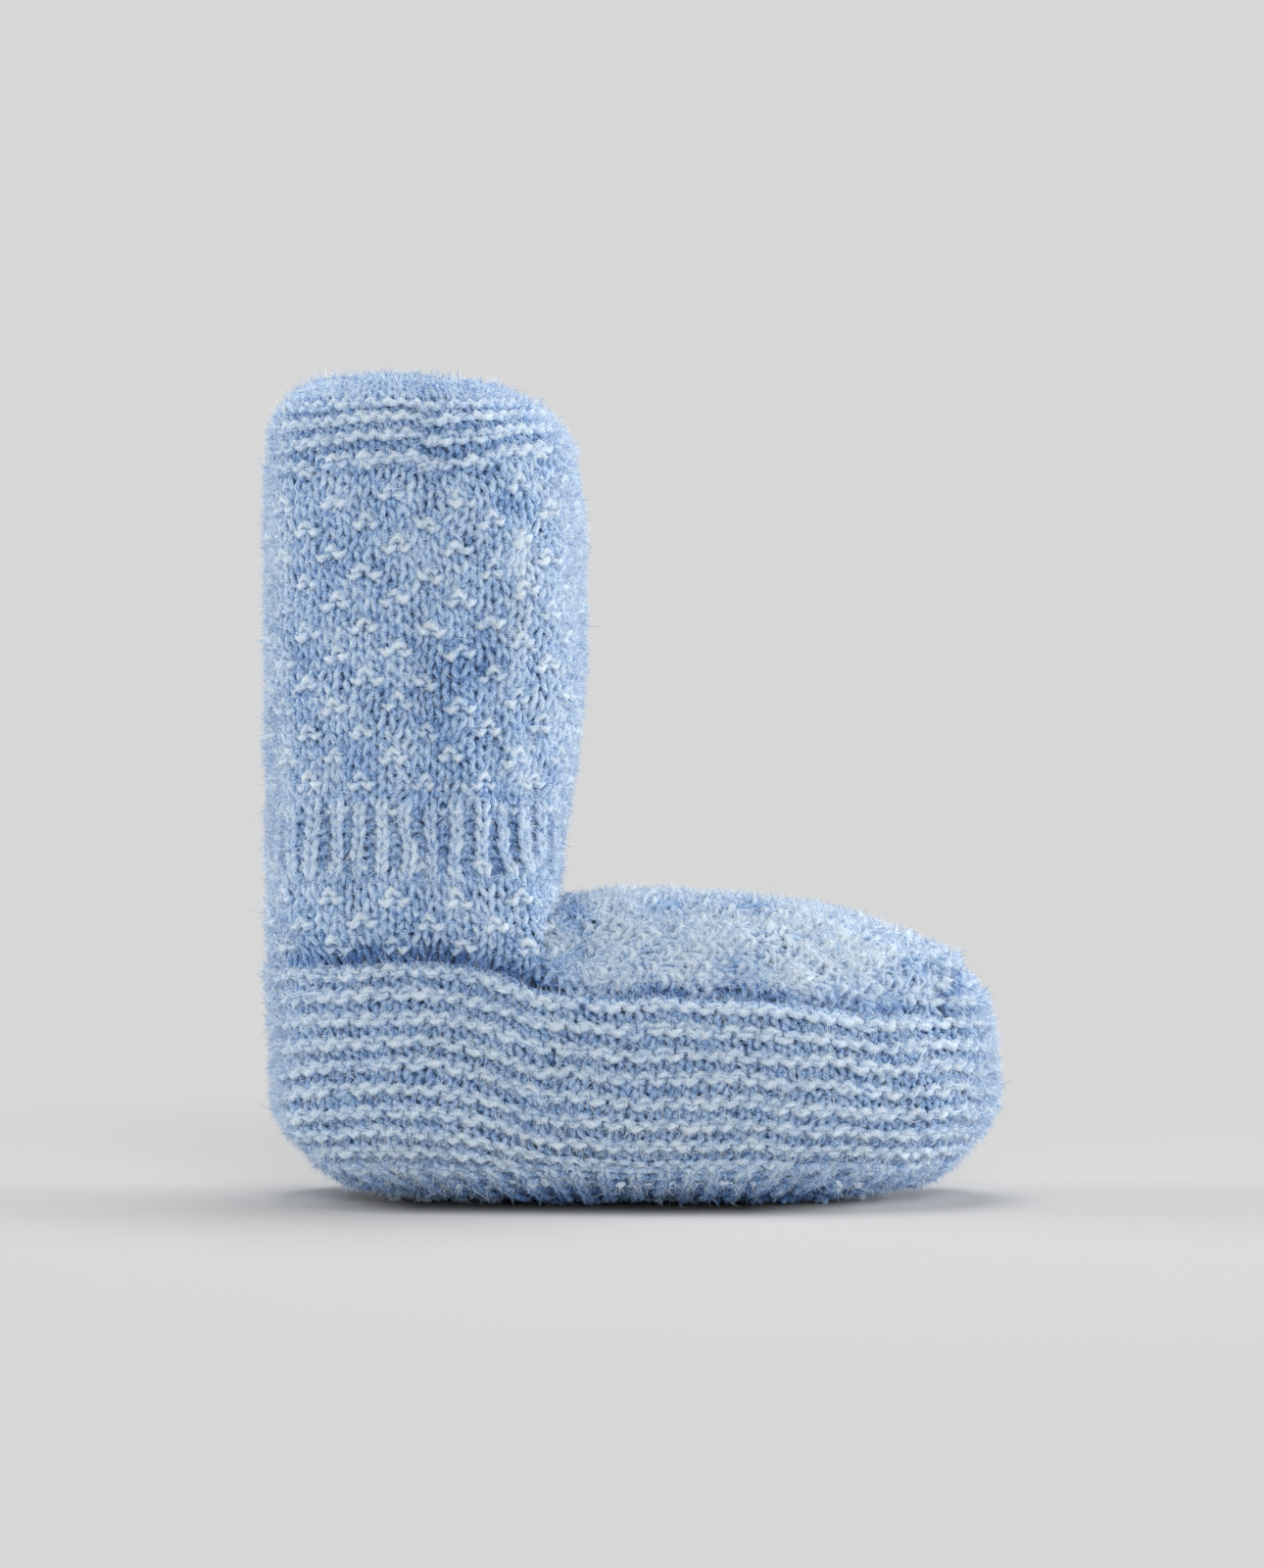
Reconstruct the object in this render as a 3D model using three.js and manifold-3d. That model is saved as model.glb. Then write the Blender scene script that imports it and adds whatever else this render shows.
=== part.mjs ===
// A high knitted baby bootie, standing empty on its sole, in millimetres.
// +X runs towards the toe, +Z is up, and the origin is on the floor under the middle of its length.
// A leg and instep knitted in one make the upper. A garter-stitch band forms the sides of the foot,
// and a knitted sole closes it underneath. The bootie fits either foot, so it is the same on both sides.

import * as THREE from "three";
import { mergeVertices } from "three/addons/utils/BufferGeometryUtils.js";
import Module from "manifold-3d";

const wasm = await Module();
wasm.setup();

// Driving dimensions.
const TOE_X = 59.6;
const HEEL_X = -58.4;
const HEEL_HALF_WIDTH = 22.6;
const BALL_HALF_WIDTH = 25;
const LEG_WALL = 2.2;
const BAND_WALL = 2.8;
const SOLE_THICKNESS = 3;
const SEAM_GAP = 0.3;

// The foot widens from the heel to the ball between these places.
const WIDEN_START = -35;
const WIDEN_END = 30;

// How roundly the foot turns under to the floor, at its ends and at its sides.
const TOE_ROUNDNESS = 2.5;
const HEEL_ROUNDNESS = 3.4;
const TURN_HEIGHT = 17;
const TURN_ROUNDNESS = 1.7;
const TURN_REACH_END = 23;
const TURN_REACH_SIDE = 11;

// How far the band leans in from its widest line up to its rim. At the heel it leans out to meet the leg.
const LEAN_POWER = 2.2;
const RIM_LEAN_TOE = 5;
const RIM_LEAN_HEEL = -0.9;
const RIM_LEAN_SIDE = 2.5;

// The sole turns up to an edge with short upright ribs. Inside it is a dish, whose floor lies this far
// inside the outline where the sole leaves the ground.
const SOLE_EDGE_HEIGHT = 4.6;
const SOLE_LEVELS = [0, 0.35, 1.1, 2.2, 3.4, SOLE_EDGE_HEIGHT];
const SOLE_RIBS = 66;
const SOLE_RIB_DEPTH = 0.6;
const DISH_INSET = 1;

// Garter stitch stands out in ridges, two rows of knitting to each.
const BAND_RIDGES = 9;
const CUFF_RIDGES = 5;
const CUFF_RIDGE_PITCH = 3.5;
const ROWS_PER_RIDGE = 2;
const RIDGE_DEPTH = 0.8;

// Levels of the band's plain inside, as shares of the way up from the sole to the rim.
const BAND_INSIDE_LEVELS = [0.8, 0.5, 0.25, 0.1, 0];

// The instep panel starts inside the leg. It lies this far inside the band's rim, so the rim stands proud,
// and goes down behind the rim by its skirt. Its arch springs from just under the rim.
const INSTEP_START = -40;
const INSTEP_TUCK = 1;
const INSTEP_SKIRT = 6;
const INSTEP_SPRING = 1;
const INSTEP_LEAST_RISE = 0.6;

// Beside the leg the instep's arch is pinched in, and fills out again over this reach.
const LEG_FRONT = -12;
const ANKLE_PINCH = 0.35;
const PINCH_REACH = 18;

// How finely the curved surfaces are divided.
const OUTLINE_SAMPLES = 720;
const BAND_STEPS = 64;
const LEG_STEPS = 52;
const LEG_ROOM_STEPS = 26;
const ARCH_STEPS = 16;
const INSTEP_SECTIONS = 22;
const MERGE_DISTANCE = 1e-4;

// The sheet that cuts band and upper apart reaches past the foot, and the uncut band runs on past its rim.
const SHEET_REACH = 70;
const SHEET_STEP = 1;
const PAST_RIM = 1.3;

// Height of the band's rim along the foot. The rim climbs round the toe by TOE_RISE.
const RIM = [
  { x: -60, height: 37.6 },
  { x: -42, height: 39 },
  { x: -27, height: 38.8 },
  { x: -13, height: 34.2 },
  { x: 18, height: 33.2 },
  { x: 38, height: 30.8 },
  { x: 60, height: 30.6 },
];
const TOE_RISE = 9;
const TOE_RISE_START = 44;
const TOE_RISE_END = 54.4;

// Crest of the instep panel along the foot.
const CREST = [
  { x: -40, height: 50 },
  { x: -10, height: 50.6 },
  { x: 9, height: 50.5 },
  { x: 26, height: 49.3 },
  { x: 38, height: 46.4 },
  { x: 48, height: 42.8 },
  { x: 54, height: 40.2 },
];

// Level sections of the leg, from inside the foot up to the crest of the collar. Each is a rounded
// oblong with its own roundness towards the heel and the shin, and dip lowers the collar's front.
const LEG = [
  { z: 26, back: -57.6, front: -12.8, half: 19.8, heelRound: 2.4, shinRound: 7, dip: 0 },
  { z: 38, back: -59, front: -12, half: 19.8, heelRound: 2.4, shinRound: 7, dip: 0 },
  { z: 51, back: -59.2, front: -11.4, half: 18.2, heelRound: 2.4, shinRound: 3.6, dip: 0 },
  { z: 60, back: -59.2, front: -10.6, half: 17.4, heelRound: 2.3, shinRound: 2.5, dip: 0 },
  { z: 70, back: -59.3, front: -8.8, half: 18, heelRound: 2.3, shinRound: 2.3, dip: 0 },
  { z: 80, back: -59.4, front: -7.6, half: 18.6, heelRound: 2.3, shinRound: 2.3, dip: 0 },
  { z: 93, back: -59.6, front: -7, half: 19, heelRound: 2.3, shinRound: 2.3, dip: 0 },
  { z: 108, back: -59.6, front: -7.5, half: 19, heelRound: 2.3, shinRound: 2.3, dip: 0 },
  { z: 117, back: -59.4, front: -8.5, half: 18.6, heelRound: 2.3, shinRound: 2.3, dip: 0 },
  { z: 123, back: -59, front: -10, half: 18, heelRound: 2.3, shinRound: 2.3, dip: 0 },
  { z: 128, back: -57.6, front: -13, half: 16.8, heelRound: 2.3, shinRound: 2.3, dip: 0.3 },
  { z: 131.6, back: -55.2, front: -16.6, half: 15, heelRound: 2.3, shinRound: 2.3, dip: 0.9 },
  { z: 133.5, back: -52.6, front: -19.4, half: 12.8, heelRound: 2.3, shinRound: 2.3, dip: 1.5 },
];
const LEG_COLUMNS = ["back", "front", "half", "heelRound", "shinRound", "dip"];
const LEG_TOP = LEG[LEG.length - 1].z;
const CUFF_BOTTOM = LEG_TOP - CUFF_RIDGES * CUFF_RIDGE_PITCH;

// Levels where the leg's plain outside and the room inside it have a section.
const LEG_LEVELS = [26, 32, 38, 44, 51, 56, 62, 70, 80, 92, 104];
const LEG_ROOM_LEVELS = [24, 38, 51, 60, 72, 93, 110, 120, 126];

// The mouth of the collar, where the drawn-in edge turns down inside the leg.
const MOUTH = { back: -50.4, front: -21.4, half: 10.2, heelRound: 2.3, shinRound: 2.3, dip: 0 };
const MOUTH_DEPTH = 4;

const { max, min, abs, sign, cos, sin, hypot, PI } = Math;
const mix = (a, b, share) => a + (b - a) * share;
const smoothstep = (low, high, value) => THREE.MathUtils.smoothstep(value, low, high);
const angles = (count) => Array.from({ length: count }, (_, step) => (2 * PI * step) / count);

// Reads one column of a table at a place between its rows, with a smooth curve through the rows.
function readTable(rows, key, place, column) {
  const last = rows.length - 1;
  const next = rows.findIndex((row) => row[key] >= place);
  if (next === 0) return rows[0][column];
  if (next < 0) return rows[last][column];
  const [a, b] = [rows[next - 1], rows[next]];
  const slopeAt = (index) => {
    const before = rows[max(index - 1, 0)];
    const after = rows[min(index + 1, last)];
    return (after[column] - before[column]) / (after[key] - before[key]);
  };
  const span = b[key] - a[key];
  const t = (place - a[key]) / span;
  const rise = span * (slopeAt(next - 1) * (t ** 3 - 2 * t ** 2 + t) + slopeAt(next) * (t ** 3 - t ** 2));
  return mix(a[column], b[column], t * t * (3 - 2 * t)) + rise;
}

const rimHeight = (x) =>
  readTable(RIM, "x", x, "height") + TOE_RISE * smoothstep(TOE_RISE_START, TOE_RISE_END, x);
const crestHeight = (x) => readTable(CREST, "x", x, "height");
const halfWidth = (x) => mix(HEEL_HALF_WIDTH, BALL_HALF_WIDTH, smoothstep(WIDEN_START, WIDEN_END, x));

// The two coordinates of a rounded oblong at an angle, each from -1 to 1. Its ends may differ in roundness.
function roundedOblong(angle, frontRoundness, backRoundness) {
  const power = 2 / (cos(angle) > 0 ? frontRoundness : backRoundness);
  const along = sign(cos(angle)) * abs(cos(angle)) ** power;
  const across = sign(sin(angle)) * abs(sin(angle)) ** power;
  return [along, across];
}

// Plan of the foot at its widest line, drawn in by so much at the toe, the heel and the sides.
function footPoint(angle, inset) {
  const [along, across] = roundedOblong(angle, TOE_ROUNDNESS, HEEL_ROUNDNESS);
  const middle = (TOE_X + HEEL_X) / 2;
  const reach = (TOE_X - HEEL_X) / 2 - (along > 0 ? inset.toe : inset.heel);
  const half = halfWidth(middle + along * (reach + inset.side)) - inset.side;
  return [middle + along * reach, across * half];
}

// Angles that divide the foot's widest line into equal lengths, so ribs and facets are evenly spaced.
function evenAngles(count) {
  const places = angles(OUTLINE_SAMPLES).map((angle) => footPoint(angle, { toe: 0, heel: 0, side: 0 }));
  const lengths = [0];
  places.forEach(([x, y], index) => {
    const [nextX, nextY] = places[(index + 1) % OUTLINE_SAMPLES];
    lengths.push(lengths[index] + hypot(nextX - x, nextY - y));
  });
  return angles(count).map((share) => {
    const goal = (lengths[OUTLINE_SAMPLES] * share) / (2 * PI);
    const after = lengths.findIndex((length) => length > goal);
    const part = (goal - lengths[after - 1]) / (lengths[after] - lengths[after - 1]);
    return (2 * PI * (after - 1 + part)) / OUTLINE_SAMPLES;
  });
}

// How far the foot has drawn in at a height below its widest line, as a share of its whole turn.
function turnUnder(z) {
  const drop = max(0, (TURN_HEIGHT - z) / TURN_HEIGHT);
  return 1 - (1 - drop ** TURN_ROUNDNESS) ** (1 / TURN_ROUNDNESS);
}

// Inset of the foot's outside at a height, with how far that height is from the widest line to the rim.
function footInset(z, leanShare, extra = 0) {
  const turn = turnUnder(z);
  const lean = max(0, leanShare) ** LEAN_POWER;
  return {
    toe: TURN_REACH_END * turn + RIM_LEAN_TOE * lean + extra,
    heel: TURN_REACH_END * turn + RIM_LEAN_HEEL * lean + extra,
    side: TURN_REACH_SIDE * turn + RIM_LEAN_SIDE * lean + extra,
  };
}

// A point on the band's outside or, with depth, inside it. The level runs from 0 at the sole to 1 at the rim.
function bandPoint(angle, level, depth) {
  const top = rimHeight(footPoint(angle, footInset(TURN_HEIGHT, 1))[0]);
  const z = mix(SOLE_EDGE_HEIGHT + SEAM_GAP, top, level);
  const leanShare = (z - TURN_HEIGHT) / (top - TURN_HEIGHT);
  return [...footPoint(angle, footInset(z, leanShare, depth)), z];
}

// Closes a stack of rings of points into one solid. Each ring runs the same way round.
// A stack that returns on itself is a hoop, and any other is closed at its ends by a fan of faces.
function solidFromRings(rings, returns = false) {
  const count = rings[0].length;
  const positions = rings.flat(2);
  const faces = [];
  const at = (ring, step) => (ring % rings.length) * count + (step % count);
  const spans = returns ? rings.length : rings.length - 1;
  for (let ring = 0; ring < spans; ring += 1) {
    for (let step = 0; step < count; step += 1) {
      const [a, b] = [at(ring, step), at(ring, step + 1)];
      const [c, d] = [at(ring + 1, step), at(ring + 1, step + 1)];
      faces.push(a, b, d, a, d, c);
    }
  }
  if (!returns) {
    for (const ring of [0, rings.length - 1]) {
      const centre = positions.length / 3;
      const points = rings[ring];
      positions.push(...[0, 1, 2].map((axis) => points.reduce((sum, p) => sum + p[axis], 0) / count));
      for (let step = 0; step < count; step += 1) {
        const edge = ring === 0 ? [at(ring, step + 1), at(ring, step)] : [at(ring, step), at(ring, step + 1)];
        faces.push(centre, ...edge);
      }
    }
  }
  return solidFromMesh(positions, faces);
}

function solidFromMesh(positions, faces) {
  let geometry = new THREE.BufferGeometry();
  geometry.setAttribute("position", new THREE.Float32BufferAttribute(positions, 3));
  geometry.setIndex(faces);
  geometry = mergeVertices(geometry, MERGE_DISTANCE);
  const vertProperties = geometry.attributes.position.array;
  const triVerts = new Uint32Array(geometry.index.array);
  return new wasm.Manifold(new wasm.Mesh({ numProp: 3, vertProperties, triVerts }));
}

// Everything on one side of the sheet that holds the band's rim, out to a level height.
function makeRimBlock(shift, level) {
  const wide = 2 * BALL_HALF_WIDTH;
  const rings = [];
  for (let x = -SHEET_REACH; x <= SHEET_REACH; x += SHEET_STEP) {
    const sheet = rimHeight(x) + shift;
    const [low, high] = [min(sheet, level), max(sheet, level)];
    rings.push([
      [x, wide, low],
      [x, wide, high],
      [x, -wide, high],
      [x, -wide, low],
    ]);
  }
  return solidFromRings(rings);
}

// Band: a hoop with ridges outside and a plain inside, cut off along its rim.
function makeBand() {
  const outside = [];
  const rows = BAND_RIDGES * ROWS_PER_RIDGE;
  for (let row = 0; row < rows; row += 1) {
    const isValley = row % ROWS_PER_RIDGE === 0 && row > 0;
    outside.push({ level: row / rows, depth: isValley ? RIDGE_DEPTH : 0 });
  }
  const past = [0, BAND_WALL].map((depth) => ({ level: PAST_RIM, depth }));
  const inside = BAND_INSIDE_LEVELS.map((level) => ({ level, depth: BAND_WALL }));
  const steps = evenAngles(BAND_STEPS);
  const rings = [...outside, ...past, ...inside].map(({ level, depth }) =>
    steps.map((angle) => bandPoint(angle, level, depth)),
  );
  return solidFromRings(rings, true).subtract(makeRimBlock(0, LEG_TOP));
}

// Sole: a shallow dish, flat where it stands and turned up all round to meet the band.
// Its ribs deepen from nothing on the floor to their full depth at the edge.
function makeSole() {
  const steps = evenAngles(2 * SOLE_RIBS);
  const ringAt = (z, extra, lift) => {
    const groove = SOLE_RIB_DEPTH * (z / SOLE_EDGE_HEIGHT);
    return steps.map((angle, step) => {
      const inset = footInset(z, 0, extra + (step % 2 === 0 ? 0 : groove));
      return [...footPoint(angle, inset), z + lift];
    });
  };
  const outside = SOLE_LEVELS.map((z) => ringAt(z, 0, 0));
  const edge = ringAt(SOLE_EDGE_HEIGHT, SOLE_THICKNESS, 0);
  const inside = ringAt(0, DISH_INSET, SOLE_THICKNESS);
  return solidFromRings([...outside, edge, inside]);
}

// Instep: arched cross sections from inside the leg to the toe. Drawn in by depth it is the room inside.
function makeInstep(depth) {
  const middle = (TOE_X + HEEL_X) / 2;
  const end = TOE_X - RIM_LEAN_TOE - INSTEP_TUCK - depth;
  const rings = [];
  for (let section = 0; section <= INSTEP_SECTIONS; section += 1) {
    const x = mix(INSTEP_START, end, sin((PI / 2) * (section / INSTEP_SECTIONS)));
    const share = min(1 - MERGE_DISTANCE, max(0, (x - middle) / (end - middle)));
    const taper = (1 - share ** TOE_ROUNDNESS) ** (1 / TOE_ROUNDNESS);
    const half = (halfWidth(x) - RIM_LEAN_SIDE - INSTEP_TUCK - depth) * taper;
    const base = rimHeight(x) - INSTEP_SPRING;
    const rise = max(INSTEP_LEAST_RISE, crestHeight(x) - depth - base);
    const pinch = 1 + ANKLE_PINCH * (1 - smoothstep(LEG_FRONT, LEG_FRONT + PINCH_REACH, x));
    const arch = [];
    for (let step = 0; step <= ARCH_STEPS; step += 1) {
      const turn = (PI * step) / ARCH_STEPS;
      const across = sign(cos(turn)) * abs(cos(turn)) ** pinch;
      arch.push([x, half * across, base + rise * sin(turn)]);
    }
    const low = rimHeight(x) - INSTEP_SKIRT;
    rings.push([...arch, [x, -half, low], [x, half, low]]);
  }
  return solidFromRings(rings);
}

// One level section of the leg, drawn in by depth.
function legRing(section, depth, steps) {
  const middle = (section.front + section.back) / 2;
  const reach = (section.front - section.back) / 2 - depth;
  return angles(steps).map((angle) => {
    const [along, across] = roundedOblong(angle, section.shinRound, section.heelRound);
    const drop = section.dip * max(0, along) ** 2;
    return [middle + along * reach, across * (section.half - depth), section.z - drop];
  });
}

function legSection(z) {
  const section = { z };
  for (const column of LEG_COLUMNS) section[column] = readTable(LEG, "z", z, column);
  return section;
}

// Leg, outside: plain up to the cuff, which has garter ridges up to the drawn-in edge of the collar.
function makeLeg() {
  const plain = LEG_LEVELS.map((z) => legRing(legSection(z), 0, LEG_STEPS));
  const cuff = [];
  const rows = CUFF_RIDGES * ROWS_PER_RIDGE;
  for (let row = 0; row <= rows; row += 1) {
    const z = CUFF_BOTTOM + (row * CUFF_RIDGE_PITCH) / ROWS_PER_RIDGE;
    const isValley = row % ROWS_PER_RIDGE === 0 && row < rows;
    cuff.push(legRing(legSection(z), isValley ? RIDGE_DEPTH : 0, LEG_STEPS));
  }
  return solidFromRings([...plain, ...cuff]);
}

// Room inside the leg, which runs out through the mouth of the collar.
function makeLegRoom() {
  const room = LEG_ROOM_LEVELS.map((z) => legRing(legSection(z), LEG_WALL, LEG_ROOM_STEPS));
  const mouth = [LEG_TOP - MOUTH_DEPTH, LEG_TOP + MOUTH_DEPTH].map((z) =>
    legRing({ ...MOUTH, z }, 0, LEG_ROOM_STEPS),
  );
  return solidFromRings([...room, ...mouth]);
}

function makeUpper() {
  const outside = makeInstep(0).add(makeLeg());
  const room = makeInstep(LEG_WALL).add(makeLegRoom());
  return outside.subtract(room).subtract(makeRimBlock(SEAM_GAP, -LEG_TOP));
}

function meshFromSolid(name, solid, color) {
  const { vertProperties, triVerts } = solid.getMesh();
  const geometry = new THREE.BufferGeometry();
  geometry.setAttribute("position", new THREE.Float32BufferAttribute(vertProperties, 3));
  geometry.setIndex([...triVerts]);
  geometry.computeVertexNormals();
  const material = new THREE.MeshStandardMaterial({ color, roughness: 0.95, metalness: 0 });
  const mesh = new THREE.Mesh(geometry, material);
  mesh.name = name;
  return mesh;
}

const bootie = new THREE.Group();
bootie.add(meshFromSolid("upper", makeUpper(), "#a3bfe2"));
bootie.add(meshFromSolid("side_band", makeBand(), "#a9c3e3"));
bootie.add(meshFromSolid("sole", makeSole(), "#8fabd1"));

export default bootie;
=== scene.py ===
import math

import bpy
import numpy as np
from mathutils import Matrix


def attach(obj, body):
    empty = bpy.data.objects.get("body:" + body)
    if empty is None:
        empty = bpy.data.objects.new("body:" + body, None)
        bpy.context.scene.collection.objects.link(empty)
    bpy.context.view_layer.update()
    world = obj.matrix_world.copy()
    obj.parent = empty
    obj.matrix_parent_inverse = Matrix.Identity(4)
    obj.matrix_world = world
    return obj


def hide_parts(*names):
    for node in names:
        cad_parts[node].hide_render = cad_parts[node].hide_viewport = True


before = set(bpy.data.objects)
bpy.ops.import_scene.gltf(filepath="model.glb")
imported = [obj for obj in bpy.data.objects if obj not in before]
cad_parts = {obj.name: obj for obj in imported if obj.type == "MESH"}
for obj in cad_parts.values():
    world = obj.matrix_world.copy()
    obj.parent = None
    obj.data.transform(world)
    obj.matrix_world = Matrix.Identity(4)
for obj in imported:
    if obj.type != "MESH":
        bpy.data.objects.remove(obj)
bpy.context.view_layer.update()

MM = 0.001
PI = math.pi

# The frame's sizes in millimetres, as its solids have them.
TOE_X = 59.6
HEEL_X = -58.4
MIDDLE_X = (TOE_X + HEEL_X) / 2
HALF_LENGTH = (TOE_X - HEEL_X) / 2
HEEL_HALF_WIDTH = 22.6
BALL_HALF_WIDTH = 25
WIDEN_START = -35
WIDEN_END = 30
TOE_ROUNDNESS = 2.5
HEEL_ROUNDNESS = 3.4
TURN_HEIGHT = 17
TURN_ROUNDNESS = 1.7
TURN_REACH_END = 23
TURN_REACH_SIDE = 11
LEAN_POWER = 2.2
RIM_LEAN_TOE = 5
RIM_LEAN_HEEL = -0.9
RIM_LEAN_SIDE = 2.5
SOLE_EDGE = 4.6
INSTEP_TUCK = 1
INSTEP_END = TOE_X - RIM_LEAN_TOE - INSTEP_TUCK
INSTEP_SPRING = 1
INSTEP_LEAST_RISE = 0.6
ANKLE_X = -12
ANKLE_PINCH = 0.35
PINCH_REACH = 18
TOE_RISE = 9

# The band's rim climbs round the toe between these places, more steeply than the solid's rim.
TOE_CLIMB = (49.8, 54.3)

# The sole's panel ends inside its turned-up edge: its heights at toe and heel, and along its sides.
PANEL_END_HEIGHT = 3
PANEL_SIDE_HEIGHT = 1

# The band's rim and the instep's crest, in two columns: place along the foot, and height there.
HEIGHT = 1
RIM = np.array([(-60, 37.6), (-42, 39), (-27, 38.8), (-13, 34.2), (18, 33.2), (38, 30.8), (60, 30.6)])
CREST = np.array([(-40, 50), (-10, 50.6), (9, 50.5), (26, 49.3), (38, 46.4), (48, 42.8), (54, 40.2)])

# Level sections of the leg: height, back, front, half width, heel and shin roundness, dip of the front.
LEVEL, BACK, FRONT, HALF_WIDTH, HEEL_ROUND, SHIN_ROUND, DIP = range(7)
LEG = np.array([
    (26, -57.6, -12.8, 19.8, 2.4, 7, 0),
    (38, -59, -12, 19.8, 2.4, 7, 0),
    (51, -59.2, -11.4, 18.2, 2.4, 3.6, 0),
    (60, -59.2, -10.6, 17.4, 2.3, 2.5, 0),
    (70, -59.3, -8.8, 18, 2.3, 2.3, 0),
    (80, -59.4, -7.6, 18.6, 2.3, 2.3, 0),
    (93, -59.6, -7, 19, 2.3, 2.3, 0),
    (108, -59.6, -7.5, 19, 2.3, 2.3, 0),
    (117, -59.4, -8.5, 18.6, 2.3, 2.3, 0),
    (123, -59, -10, 18, 2.3, 2.3, 0),
    (128, -57.6, -13, 16.8, 2.3, 2.3, 0.3),
    (131.6, -55.2, -16.6, 15, 2.3, 2.3, 0.9),
    (133.5, -52.6, -19.4, 12.8, 2.3, 2.3, 1.5),
])

# The collar's edge as it rolls inwards and runs down inside the leg, in the same columns.
COLLAR = np.array([
    (134.2, -51.4, -20.6, 11.6, 2.3, 2.3, 1.5),
    (134, -50, -22, 10.2, 2.3, 2.3, 1.5),
    (132.6, -49.2, -22.8, 9.4, 2.3, 2.3, 1.4),
    (130.5, -49.8, -21.8, 10, 2.3, 2.3, 0.9),
    (128, -51.4, -19.8, 11.4, 2.3, 2.3, 0.4),
    (124, -53.2, -17, 12.8, 2.3, 2.3, 0),
    (119, -54.2, -14.8, 13.8, 2.3, 2.3, 0),
])

# The collar sinks a little under its own weight, more and more between these heights.
COLLAR_DROP = 1.9
COLLAR_DROP_HEIGHTS = (121, 133)

# At the band's rim the leg is tucked in, and higher up it swells out. Both are slight at the heel.
LEG_CENTRE = np.array([MIDDLE_X - 35, 0, 0])
LEG_TUCK = 3.0
LEG_TUCK_REACH = 2.5
LEG_SWELL = 0.8
LEG_SWELL_HEIGHT = 7.5
LEG_SWELL_REACH = 3
HEEL_TUCK_SHARE = 0.2
HEEL_TUCK_PLACES = (-59, -48)

# The wool: a soft strand a little over a millimetre thick, laid just inside the frame's surface.
YARN_RADIUS = 0.6
LOOP_DEPTH = 0.48
LOOP_HEIGHT = 0.8
LOOP_OVERLAP = 0.25
STRAND_SIDES = 4
STITCH_STEPS = 10
PLY_TWIST = 1.1

# How deep the middle of the strands lies under the frame's surface, on each piece.
LEG_DEPTH = 1.4
BAND_DEPTH = 1.6
INSTEP_DEPTH = 2.1
EDGE_DEPTH = 0.9
SOLE_DEPTH = 1.45

# Stitches round each piece, and heights and widths of stitches. The sole's are guessed: it doesn't show.
LEG_STITCHES = 56
RIB_STITCHES = 68
BAND_STITCHES = 98
EDGE_STITCHES = 110
PATTERN_ROW = 2.02
RIB_ROW = 1.9
CUFF_ROW = 1.7
INNER_ROW = 2.0
BAND_ROW = 1.88
EDGE_ROW = 1.8
INSTEP_STITCH = 2.5
SOLE_STITCH = 3.2
SOLE_ROW = 2.6

# Heights where the leg's knitting changes, how far neighbouring zones lap over each other there, and how
# far the collar goes on past the table of the leg: round its roll, and down inside.
LEG_FOOT = 31.5
RIB_FOOT = 53.3
RIB_HEAD = 62.8
CUFF_FOOT = 116
CUFF_HEAD = 129.8
ZONE_LAP = 0.8
RIB_LAP = 0.6
COLLAR_ROLL = 4
COLLAR_INSIDE = 12

# The leg's rows go down behind the band's rim by this much.
ROWS_BEHIND_RIM = 1.6

# How unevenly the stitches are knitted: the spread of chance in each of their measures.
HEIGHT_SLACK = 0.1
PLACE_SLACK = 0.07
ROW_SLACK = 0.13
DEPTH_SLACK = 0.09
BUMP_SLACK = 0.25
BUMP_TILT = 0.35
THICKNESS_SLACK = 0.1

# Smooth unevenness over longer stretches: how much, the length over which it changes, and a seed.
SWELLS = [(0.35, 16, 3), (0.16, 7, 4)]
ROW_WAVES = [(0.3, 13, 5), (0.12, 4.5, 6)]
STITCH_DRIFT = [(0.2, 9, 8)]
YARN_THICKNESS = [(0.12, 3.1, 11), (0.08, 1.1, 12)]
YARN_TONE = [(0.3, 2, 13)]
INSTEP_STREAKS = [(0.45, 6, 14)]
LEG_PATCHES = [(0.22, 12, 15)]

# The instep's streaks are drawn out along the foot.
STREAK_SHAPE = np.array([0.45, 1, 1])

# The leg's rows climb towards the shin, by this much to a millimetre at the heel and at the shin. At the
# side seam they step down by half a ridge. They are level at the ankle and at the collar.
HEEL_CLIMB = 0.09
SHIN_CLIMB = 0.19
CLIMB_PLACES = (-40, -22)
CLIMB_CENTRE_X = -33
SEAM_STEP = 2.2
SEAM_PLACES = (-34.6, -31.6)
CLIMB_GROWS = (68, 84)
CLIMB_FADES = (124, 131)

# Painted shade in the crease along the band's rim: a dark line, and a fainter shade round it.
# Both fade out at the heel.
RIM_LINE_DARK = 0.9
RIM_LINE_HEIGHT = 0.6
RIM_LINE_WIDTH = 1.2
RIM_SHADE_DARK = 0.45
RIM_SHADE_WIDTH = 4
RIM_FADE_PLACES = (-57, -49)

# Painted shade: the sole's edge darker down towards the floor, and its panel darker along its long
# sides, where the edge meets it.
UNDERSIDE_DARK = 1.8
UNDERSIDE_HEIGHTS = (0.5, 8)
PANEL_SIDE_DARK = 1.6
PANEL_SIDE_PLACES = (8, 13)
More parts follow.
